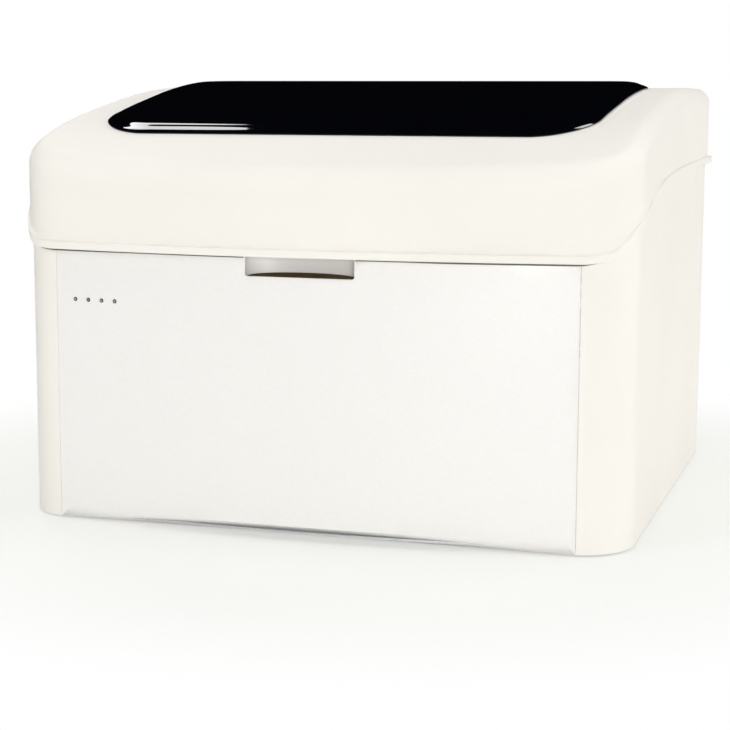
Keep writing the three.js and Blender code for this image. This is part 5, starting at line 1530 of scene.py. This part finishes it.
class AddDeck(PieceOperator):
    """Worktop, the two baths, wash pots, sleeves and the deck's screws."""

    bl_idname = "analyzer.add_deck"
    bl_label = "Deck"

    def build(self, context, form):
        carousel, ring = centre_of("sample_carousel"), centre_of("reaction_ring")
        self.worktop(form, carousel, ring)
        for name, centre, radius in (("reagent_bath", carousel, CAROUSEL_RADIUS),
                                     ("reaction_bath", ring, RING_RADIUS)):
            self.bath(name, centre, radius)
        for name in ("probe_wash_pot", "mixer_wash_pot"):
            self.pot(name)
        for name, radius in (("probe_sleeve", 12 * MM), ("mixer_sleeve", 8 * MM)):
            self.sleeve(name, radius)

    def bath(self, name, centre, radius):
        low, high = edges_of(name)
        floor, top = low[2], high[2]
        hub, wall, rim = 9 * MM, radius + 5 * MM, radius + 6 * MM
        pan = lathe([(hub, floor), (wall, floor), (wall, top - 2 * MM), (rim, top - 1 * MM),
                     (rim, top), (radius, top), (radius, floor + 4 * MM), (hub, floor + 4 * MM)],
                    160, 0.8 * MM)
        piece(name + "_pan", pan, "bare_steel", name, centre)

    def pot(self, name):
        low, high = edges_of(name)
        bottom, top, rim_top = low[2], high[2], DECK_TOP + 2.8 * MM
        pot = lathe([(0, bottom), (POT_RADIUS, bottom), (POT_RADIUS, DECK_SEAT),
                     (POT_RIM, DECK_SEAT), (POT_RIM, rim_top), (POT_RADIUS, rim_top),
                     (POT_RADIUS, top), (POT_BORE, top), (POT_BORE, bottom + 4 * MM),
                     (POT_BORE - 2 * MM, bottom + 2.5 * MM), (0, bottom + 2.5 * MM)], 64, 0.6 * MM)
        piece(name + "_cup", pot, "white_plastic", name, centre_of(name))

    def sleeve(self, name, radius):
        """Flanged guide of a column, with four screws."""
        low, high = edges_of(name)
        bore, outer, flange = radius + 0.5 * MM, radius + 8 * MM, radius + 17 * MM
        step, top, centre = DECK_SEAT + 4 * MM, high[2], centre_of(name)
        guide = lathe([(bore, low[2]), (outer, low[2]), (outer, DECK_SEAT), (flange, DECK_SEAT),
                       (flange, step), (outer + 1.5 * MM, step), (outer, DECK_SEAT + 6 * MM),
                       (outer, top - 4 * MM), (outer - 4 * MM, top), (bore, top)], 72, 0.5 * MM)
        piece(name + "_guide", guide, "dark_metal", name, centre)
        extra(name + "_screws", [placed(screw(2.6 * MM, 1.8 * MM),
              (*polar(centre, outer + 5 * MM, QUARTER * (i + 0.5)), step)) for i in range(4)],
              "bare_steel", name)

    def worktop(self, form, carousel, ring):
        """Moulded deck with the cup's notch and a hole for all that passes through it."""
        front = form.front_arc(-DECK_INSET, form.start)[1:-1]
        notch, back = CUP_NOTCH
        lip = form.centre_y - math.sqrt((form.radius - DECK_INSET) ** 2 - notch ** 2)
        cut = np.array([(-notch, lip), (-notch, back), (notch, back), (notch, lip)])
        left, right = front[front[:, 0] < -notch - 2 * MM], front[front[:, 0] > notch + 2 * MM]
        outer = np.concatenate([left, cut, right, form.outline(-DECK_INSET)[len(front):]])
        radius = np.zeros(len(outer))
        radius[len(left):len(left) + 4] = 2 * MM
        shift = (0, form.shift)
        holes = [circle(*(carousel - shift), CAROUSEL_RADIUS, 128),
                 circle(*(ring - shift), RING_RADIUS, 128)]
        holes += [circle(*(centre_of(name) - shift), size, 48) for name, size in DECK_HOLES]
        sheet = plate([rounded(outer, radius, 5)] + holes, DECK_THICKNESS, 1 * MM,
                      level(DECK_TOP, form.shift), DECK_SPACING)
        piece("deck_top", sheet, "white_plastic", "worktop")
        extra("deck_screws", [placed(screw(3.5 * MM, 2 * MM), (x * MM, y * MM + form.shift, DECK_TOP))
                              for x, y in DECK_SCREWS], "bare_steel", "worktop")
        for name, centre, size in (("carousel_trim", carousel, CAROUSEL_RADIUS),
                                   ("ring_trim", ring, RING_RADIUS)):
            trim = lathe(mm((0.6, 0), (6, 0), (5, 1.6), (1.6, 1.6)) + (size, DECK_TOP), 160,
                         0.4 * MM)
            extra(name, trim, "bare_steel", "worktop", centre)


class AddCarousel(PieceOperator):
    """Sample and reagent carousel: disc with tube holes and pockets, core, knob and bottles."""

    bl_idname = "analyzer.add_carousel"
    bl_label = "Carousel"

    def build(self, context, form):
        centre = centre_of("sample_carousel")
        tip = centre_of("probe_column") + polar((0, 0), PROBE_REACH, PROBE_TO_TUBE)
        phase = math.atan2(*(tip - centre)[::-1])
        turns = [i * (2 * math.pi / TUBE_COUNT) for i in range(TUBE_COUNT)]
        holes = [circle(*polar((0, 0), TUBE_CIRCLE, phase + turn), TUBE_BORE, 32)
                 for turn in turns]
        pocket = wedge(POCKET_NEAR, POCKET_FAR, POCKET_HALF_ANGLE)
        holes += [spun(pocket, turn) for turn in turns]
        disc = plate([circle(0, 0, DISC_RADIUS, 160)] + holes, DISC_THICKNESS, 0.8 * MM,
                     level(DISC_TOP), PLATE_SPACING)
        core = lathe(mm((0, 231.3), (8, 231.3), (8, 238), (146, 238), (146, 241), (22, 241),
                        (22, 308), (11, 312), (11, 334), (15, 338), (15, 344), (11, 346), (0, 346)),
                     96, 0.8 * MM)
        piece("carousel_disc", [disc, core], "white_plastic", "sample_carousel", centre)
        collar = lathe(mm((8.2, 304.05), (10.4, 304.05), (10.2, 305.6), (8.6, 305.6)), 40,
                       0.3 * MM, 2)
        extra("tube_collars", [placed(collar, polar(centre, TUBE_CIRCLE, phase + turn))
                               for turn in turns], "dark_metal", "sample_carousel")
        grip = lathe(mm((0, 344.2), (11.2, 336), (14.9, 338), (14.9, 345), (12, 346), (0, 346)),
                     144, 0.5 * MM)
        extra("carousel_knob", ribbed(grip, 24, 0.7 * MM, 12.5 * MM), "black_plastic",
              "sample_carousel", centre)
        for i in range(BOTTLE_COUNT):
            self.bottle(centre, i + 1, i * math.pi * 2 / BOTTLE_COUNT)

    def bottle(self, centre, number, angle):
        """Wedge bottle with a shoulder, a threaded neck and a ribbed cap with a hole."""
        name = f"reagent_bottle_{number}"
        low, high = edges_of(name)
        shoulder, top = BOTTLE_SHOULDER, high[2]
        loop = wedge(POCKET_NEAR, POCKET_FAR, POCKET_HALF_ANGLE, 0.7 * MM, 5 * MM)
        body = prism(loop, low[2], shoulder, 3.5 * MM, 6)
        throat = lathe([(2.2 * MM, shoulder - 8 * MM), (9.2 * MM, shoulder - 8 * MM),
                        (9.2 * MM, top - 2 * MM), (8.4 * MM, top - 1 * MM), (2.2 * MM, top - 1 * MM)],
                       40, 0.3 * MM)
        cap = lathe([(3.4 * MM, shoulder + 6 * MM), (10.9 * MM, shoulder + 6 * MM),
                     (10.9 * MM, top - 1.2 * MM), (9.8 * MM, top), (4 * MM, top),
                     (3.4 * MM, top - 0.8 * MM)], 168, 0.4 * MM, 3)
        band = lathe(mm((9, 1.5), (10.6, 1.5), (10.6, 4.5), (9, 4.5)) + (0, shoulder), 56, 0.4 * MM)
        piece(f"bottle_{number}", [body, placed(throat, BOTTLE_NECK)], "bottle_plastic", name,
              centre, angle)
        ribs = ribbed(cap, 28, 0.5 * MM, 10.2 * MM)
        extra(f"bottle_cap_{number}", [placed(ribs, BOTTLE_NECK), placed(band, BOTTLE_NECK)],
              "black_plastic", name, centre, angle)


class AddReaction(PieceOperator):
    """Reaction ring with its cells, on a hub."""

    bl_idname = "analyzer.add_reaction"
    bl_label = "Reaction ring"

    def build(self, context, form):
        centre = centre_of("reaction_ring")
        turn = 2 * math.pi / CELL_COUNT
        half = mm(4, 1.9)
        cell = rectangle((CELL_CIRCLE, 0) - half, (CELL_CIRCLE, 0) + half, 0.7 * MM, 3)
        cells = [spun(cell, CELL_PHASE + i * turn) for i in range(CELL_COUNT)]
        rims = [circle(0, 0, CROWN_RADII[0], 216), circle(0, 0, CROWN_RADII[1], 144)]
        crown = plate(rims + cells, CROWN_HEIGHT, 0.5 * MM, level(DISC_TOP), None, 2)
        hub = lathe(mm((0, 263.3), (8, 263.3), (8, 270), (24, 270), (24, 295), (88.05, 295),
                       (88.05, 298), (24, 298), (21, 314), (0, 314)), 144, 0.8 * MM)
        floor = lathe(mm((88, 270), (112, 270), (112, 274.02), (88, 274.02)), 216, 0.5 * MM)
        piece("reaction_cells", [crown, floor], "clear_plastic", "reaction_ring", centre)
        extra("reaction_hub", hub, "white_plastic", "reaction_ring", centre)
        head = screw(2.6 * MM, 6.5 * MM)
        heads = [placed(head, (*polar(centre, HUB_SCREW_CIRCLE, angle), HUB_SCREW_HEIGHT))
                 for angle in HUB_SCREW_ANGLES]
        extra("reaction_hub_screws", heads, "bare_steel", "reaction_ring")


def arm_loop(reach, wide, narrow, inset=0):
    """Outline of an arm along +X: two round ends joined by tangents."""
    lean = math.asin((wide - narrow) / reach)
    pivot = polar_points(wide - inset, QUARTER - lean, 2 * math.pi - QUARTER + lean, 33)
    tip = polar_points(narrow - inset, -QUARTER + lean, QUARTER - lean, 25) + (reach, 0)
    return np.concatenate([pivot, tip])


class AddArms(PieceOperator):
    """Sampling probe and mixer: columns, two-part arm covers, needle and paddle."""

    bl_idname = "analyzer.add_arms"
    bl_label = "Probe and mixer"

    def build(self, context, form):
        probe, mixer = centre_of("probe_column"), centre_of("mixer_column")
        self.column("probe_column", probe, 12 * MM)
        self.column("mixer_column", mixer, 8 * MM)
        self.arm("probe_arm", probe, QUARTER, PROBE_REACH, 17 * MM, PROBE_ARM_BOTTOM)
        self.arm("mixer_arm", mixer, math.pi, MIXER_REACH, 14 * MM, MIXER_ARM_BOTTOM)
        needle = lathe(mm((0, 352), (0.45, 352.3), (0.75, 353.2), (0.75, 353.4), (1.5, 356),
                          (1.5, 385.7), (4.5, 388.7), (4.5, 399.7), (0, 399.7)), 32)
        piece("probe_tip", needle, "bare_steel", "probe_needle", polar(probe, PROBE_REACH, QUARTER))
        tip = polar(mixer, MIXER_REACH, math.pi)
        nose = lathe(mm((0, 386), (4.4, 386), (5, 387.5), (5, 396.5), (0, 396.5)), 32, 0.4 * MM)
        extra("mixer_nose", nose, "white_plastic", "mixer_arm", tip)
        stem = lathe(mm((0, 358), (1.2, 358), (1.5, 359), (1.5, 388), (0, 388)), 24)
        paddle = block(mm(-1.4, -0.7, 348.6), mm(1.4, 0.7, 360), 0.3 * MM)
        extra("mixer_paddle", [stem, paddle], "bare_steel", "mixer_arm", tip)

    def column(self, name, centre, radius):
        low, high = edges_of(name)
        bevel = 1 * MM
        shaft = lathe([(0, low[2]), (radius - bevel, low[2]), (radius, low[2] + bevel),
                       (radius, high[2] - bevel), (radius - bevel, high[2]), (0, high[2])], 64)
        piece(name + "_shaft", shaft, "bare_steel", name, centre)

    def arm(self, name, centre, angle, reach, wide, bottom):
        """Tray below and crown above, with a shadow line between them."""
        top = edges_of(name)[1][2]
        split = bottom + (top - bottom) * TRAY_SHARE
        loop = arm_loop(reach, wide, ARM_TIP)
        tray = prism(loop, bottom, split - 0.4 * MM, 1 * MM)
        core = prism(arm_loop(reach, wide, ARM_TIP, 1.2 * MM), bottom + 1 * MM, split + 2 * MM)
        foot = split + 0.4 * MM
        crown = prism(loop, foot, top, *(HIGH_CROWN if top - foot > 10 * MM else LOW_CROWN))
        piece(name + "_cover", [tray, core, crown], "white_plastic", name, centre, angle)


WASH_ANGLE = CELL_PHASE + math.radians(200)
WASH_NEEDLES = 7
WASH_STEP = 2 * math.pi / CELL_COUNT
SYRINGE_PLACE = (-250 * MM, 88 * MM)
SYRINGE_AXIS = -17 * MM


class AddWash(PieceOperator):
    """Cuvette wash station and the dosing syringe."""

    bl_idname = "analyzer.add_wash"
    bl_label = "Wash station and syringe"

    def build(self, context, form):
        ring = centre_of("reaction_ring")
        self.post(polar(ring, WASH_POST_CIRCLE, WASH_ANGLE))
        self.head(ring)
        self.syringe(*SYRINGE_PLACE, form.shift)

    def post(self, at):
        """Foot, mast and rail of the wash station."""
        base, top = DECK_SEAT, edges_of("wash_head_post")[1][2]
        foot = block((-26 * MM, -26 * MM, base), (26 * MM, 26 * MM, base + 6 * MM), 1 * MM, 4 * MM)
        mast = block((-14 * MM, -14 * MM, base + 5 * MM), (14 * MM, 14 * MM, top), 2 * MM, 4 * MM)
        rail = block((-20 * MM, -6 * MM, base + 6 * MM), (-13 * MM, 6 * MM, RAIL_TOP), 0.8 * MM,
                     1 * MM)
        piece("wash_mast", [foot, mast], "dark_metal", "wash_head_post", at, WASH_ANGLE)
        extra("wash_rail", rail, "bare_steel", "wash_head_post", at, WASH_ANGLE)
        head = screw(2.6 * MM, 1.8 * MM)
        extra("wash_mast_screws", [placed(head, (x, y, base + 6 * MM))
                                   for x in (-20 * MM, 20 * MM) for y in (-20 * MM, 20 * MM)],
              "bare_steel", "wash_head_post", at, WASH_ANGLE)

    def head(self, ring):
        """Bowed manifold over the cells with its needles and nuts, and a carriage on the rail."""
        half = MANIFOLD_HALF_ANGLE
        band = np.concatenate([polar_points(109 * MM, -half, half, 49),
                               polar_points(91 * MM, half, -half, 49)])
        radius = np.zeros(len(band))
        radius[[0, 48, 49, 97]] = 6 * MM
        band = prism(rounded(band, radius, 8), *MANIFOLD_HEIGHTS, 1.5 * MM, 4)
        carriage = rounded(mm((100, -15), (136.7, -15), (136.7, -6.5), (130.2, -6.5), (130.2, 6.5),
                              (136.7, 6.5), (136.7, 15), (100, 15)),
                           mm(5, 1.5, 1, 0.6, 0.6, 1, 1.5, 5), 4)
        carriage = prism(carriage, 362.5 * MM, 396 * MM, 0.8 * MM)
        piece("wash_manifold", [band, carriage], "white_plastic", "wash_head", ring, WASH_ANGLE)
        needle = lathe(mm((0, 312), (0.6, 312), (0.9, 313), (0.9, 363), (0, 363)), 20)
        nut = lathe(mm((0, 377.5), (3.6, 377.5), (3.6, 382), (2.2, 382.5), (2.2, 386), (1.4, 388),
                       (0, 388)), 6)
        steps = WASH_STEP * (np.arange(WASH_NEEDLES) - WASH_NEEDLES // 2)
        parts = [placed(placed(needle, (CELL_CIRCLE, 0)), ring, WASH_ANGLE + step)
                 for step in steps]
        parts += [placed(placed(nut, (CELL_CIRCLE, 0)), ring, WASH_ANGLE + step)
                  for step in steps if step]
        extra("wash_needles", parts, "bare_steel", "wash_head")

    def syringe(self, x, y, shift):
        """Stand with a back, foot and head, and in it a glass barrel and a ribbed plunger."""
        at, middle = (x, y + shift), (x, y + shift + SYRINGE_AXIS)
        base, top = DECK_SEAT, edges_of("syringe_body")[1][2]
        stand = [block((-24 * MM, 0, base), (24 * MM, 8 * MM, top), 1.2 * MM, 2 * MM),
                 block((-24 * MM, -26 * MM, base), (24 * MM, 7 * MM, base + 6 * MM), 1.2 * MM, 3 * MM),
                 block((-19.2 * MM, -26 * MM, 385 * MM), (19.2 * MM, 4 * MM, top), 1.5 * MM, 4 * MM)]
        piece("syringe_stand", stand, "white_plastic", "syringe_body", at)
        barrel = lathe(mm((6, 345), (8, 345), (8, 386), (6, 386)), 48, 0.4 * MM)
        extra("syringe_barrel", barrel, "clear_plastic", "syringe_body", middle)
        heads = [placed(lying(screw(2.4 * MM, 1.6 * MM)), (a * MM, 0, z * MM))
                 for a in (-18, 18) for z in (316, 372)]
        extra("syringe_screws", heads, "bare_steel", "syringe_body", at)
        rod = lathe(mm((0, 339.7), (11, 339.7), (11, 344.7), (5.7, 344.7), (5.7, 384.7),
                       (0, 384.7)), 96, 0.5 * MM)
        piece("syringe_rod", ribbed(rod, 24, 0.5 * MM, 10 * MM), "bare_steel", "syringe_plunger",
              middle)


CAMERA_PLACE = (0.6254, -2.1294, 0.47565)
CAMERA_YAW = 17.12
CAMERA_PITCH = 8.44
CAMERA_ROLL = 0.20
LAMP_AIM = (0, 0, 0.25)
SPARK_LENGTH = 0.8
HORIZON_LOW = -0.06
HORIZON_HIGH = 0.02
DARK_ROOM = 0.0015
FLOOR_HALF = 8.0
FLOOR_NEAR = 0.48
FLOOR_FAR = 0.85
FLOOR_GLOW = 0.6
FLOOR_TONE = (0.93, 0.94, 0.90)
WHITE = (1, 1, 1, 1)


def blend(tree, factor, first, second):
    return node(tree, "ShaderNodeMix", {0: factor, 2: first, 3: second}).outputs[0]


def smooth_step(tree, value, start, end, low=0.0, high=1.0):
    return node(tree, "ShaderNodeMapRange", {
        "Value": value, "From Min": start, "From Max": end, "To Min": low, "To Max": high},
        interpolation_type="SMOOTHSTEP").outputs["Result"]


def seen_directly(tree, path):
    """One for rays from the camera and rays that pass through glass, and zero for others."""
    return node(tree, "ShaderNodeMath", {
        0: path.outputs["Is Camera Ray"], 1: path.outputs["Is Transmission Ray"]},
        operation="MAXIMUM").outputs[0]


class AddStage(bpy.types.Operator):
    """Floor, even light, soft lamps, and the camera at the photograph's place."""

    bl_idname = "analyzer.add_stage"
    bl_label = "Studio"

    def execute(self, context):
        studio = context.scene.analyzer_studio
        context.scene.view_settings.view_transform = "Standard"
        self.world(context, studio)
        self.floor(context, studio)
        for name, at, size, power, matt, gloss in (
                ("key_lamp", (-2.2, -2.6, 2.3), 2.2, studio.key, True, True),
                ("front_lamp", (1.9, -4.6, 0.55), 1.4, studio.front, True, False),
                ("sheen_lamp", (0.6, -3.2, 0.6), 1.0, studio.sheen, False, True),
                ("side_lamp", (3.2, 0.5, 1.3), 1.8, studio.side, True, False),
                ("top_lamp", (0.0, -0.3, 3.0), 2.4, studio.top, True, False),
                ("rear_lamp_left", (-2.2, 2.4, 2.2), 1.6, studio.rear_left, True, False),
                ("rear_lamp_right", (2.4, 2.2, 2.2), 1.6, studio.rear_right, True, False),
                ("spark_lamp_left", (-1.25, 0.62, 2.3), 0.42, studio.spark, False, True),
                ("spark_lamp_right", (0.97, 0.9, 2.33), 0.5, studio.spark, False, True)):
            self.lamp(context, name, Vector(at), size, power, matt, gloss)
        self.camera(context, studio)
        return {"FINISHED"}

    def lamp(self, context, name, at, size, power, matt, gloss):
        """Round or oval area lamp. matt and gloss say which kind of reflection it shows in."""
        light = bpy.data.lights.new(name, "AREA")
        light.shape, light.size, light.energy = "ELLIPSE", size, power
        light.size_y = size if matt else SPARK_LENGTH
        made = bpy.data.objects.new(name, light)
        made.visible_diffuse, made.visible_glossy = matt, gloss
        made.location = at
        made.rotation_euler = (Vector(LAMP_AIM) - at).to_track_quat("-Z", "Y").to_euler()
        context.collection.objects.link(made)

    def world(self, context, studio):
        """Even light. The camera and glass see white, and gloss sees white up to the horizon
        and a dark room above it."""
        world = bpy.data.worlds.new("studio")
        context.scene.world = world
        world.use_nodes = True
        tree = world.node_tree
        tree.nodes.clear()
        path = node(tree, "ShaderNodeLightPath")
        direction = node(tree, "ShaderNodeTexCoord").outputs["Generated"]
        up = node(tree, "ShaderNodeSeparateXYZ", {0: direction}).outputs["Z"]
        room = smooth_step(tree, up, HORIZON_LOW, HORIZON_HIGH, 1.0, DARK_ROOM)
        even = blend(tree, path.outputs["Is Glossy Ray"], studio.ambient, room)
        strength = blend(tree, seen_directly(tree, path), even, 1.0)
        background = node(tree, "ShaderNodeBackground", {"Color": WHITE, "Strength": strength})
        node(tree, "ShaderNodeOutputWorld", {"Surface": background.outputs[0]})

    def floor(self, context, studio):
        """Level sheet. The camera and glass see it glow in part near the machine, and as plain
        white farther out. Other rays see it matt."""
        steps = np.linspace(-FLOOR_HALF, FLOOR_HALF, 9)
        points = np.stack(np.meshgrid(steps, steps, [0.0], indexing="ij"), -1)[:, :, 0]
        verts, faces = grid(points)
        mesh = bpy.data.meshes.new("floor")
        mesh.from_pydata(verts.tolist(), [], faces[0].tolist())
        material = bpy.data.materials.new("floor")
        material.use_nodes = True
        tree = material.node_tree
        tree.nodes.clear()
        place = node(tree, "ShaderNodeTexCoord").outputs["Object"]
        distance = node(tree, "ShaderNodeVectorMath", {0: place}, operation="LENGTH")
        away = smooth_step(tree, distance.outputs["Value"], FLOOR_NEAR, FLOOR_FAR)
        seen = seen_directly(tree, node(tree, "ShaderNodeLightPath"))
        share = node(tree, "ShaderNodeMath", {0: blend(tree, away, FLOOR_GLOW, 1.0), 1: seen},
                     operation="MULTIPLY").outputs[0]
        matt = node(tree, "ShaderNodeBsdfDiffuse", {"Color": tuple(studio.floor) + (1,)})
        pale = node(tree, "ShaderNodeMix", {0: away, 6: FLOOR_TONE + (1,), 7: WHITE},
                    data_type="RGBA").outputs[2]
        glow = node(tree, "ShaderNodeEmission", {"Color": pale, "Strength": 1.0})
        mix = node(tree, "ShaderNodeMixShader", {
            0: share, 1: matt.outputs[0], 2: glow.outputs[0]})
        node(tree, "ShaderNodeOutputMaterial", {"Surface": mix.outputs[0]})
        mesh.materials.append(material)
        made = bpy.data.objects.new("floor", mesh)
        context.collection.objects.link(made)

    def camera(self, context, studio):
        lens = bpy.data.cameras.new("camera")
        lens.lens, lens.sensor_width, lens.sensor_fit = studio.lens, 36, "HORIZONTAL"
        lens.clip_end = 50
        made = bpy.data.objects.new("camera", lens)
        a, e, r = (math.radians(v) for v in (CAMERA_YAW, CAMERA_PITCH, CAMERA_ROLL))
        ahead = Vector((-math.sin(a) * math.cos(e), math.cos(a) * math.cos(e), -math.sin(e)))
        right = Vector((math.cos(a), math.sin(a), 0))
        up = right.cross(ahead)
        across = right * math.cos(r) + up * math.sin(r)
        over = up * math.cos(r) - right * math.sin(r)
        turned = Matrix((across, over, -ahead)).transposed().to_4x4()
        made.matrix_world = Matrix.Translation(Vector(CAMERA_PLACE)) @ turned
        context.collection.objects.link(made)
        context.scene.camera = made


class AnalyzerPanel(bpy.types.Panel):
    """Lists the operators in their order."""

    bl_idname = "VIEW3D_PT_analyzer"
    bl_label = "Biochemistry Analyzer"
    bl_space_type = "VIEW_3D"
    bl_region_type = "UI"
    bl_category = "Analyzer"

    def draw(self, context):
        for kind in OPERATORS:
            self.layout.operator(kind.bl_idname)
        for name in ("analyzer_casing", "analyzer_lid", "analyzer_colours", "analyzer_studio"):
            settings = getattr(context.scene, name)
            box = self.layout.box()
            for key in settings.__annotations__:
                box.prop(settings, key)


OPERATORS = (
    AddFinishes, AddFront, AddSides, AddLid, AddFeet, AddRear, AddHinges, AddStay, AddDeck,
    AddCarousel, AddReaction, AddArms, AddWash, AddStage)
SETTINGS = {
    "analyzer_casing": CasingSizes,
    "analyzer_lid": LidSizes,
    "analyzer_colours": FinishColours,
    "analyzer_studio": StudioSettings,
}


def register():
    for kind in (*SETTINGS.values(), *OPERATORS, AnalyzerPanel):
        bpy.utils.register_class(kind)
    for name, kind in SETTINGS.items():
        setattr(bpy.types.Scene, name, bpy.props.PointerProperty(type=kind))


def unregister():
    for name in SETTINGS:
        delattr(bpy.types.Scene, name)
    for kind in reversed((*SETTINGS.values(), *OPERATORS, AnalyzerPanel)):
        bpy.utils.unregister_class(kind)


def main():
    register()
    for kind in OPERATORS:
        group, name = kind.bl_idname.split(".")
        getattr(getattr(bpy.ops, group), name)()


if __name__ == "__main__":
    main()
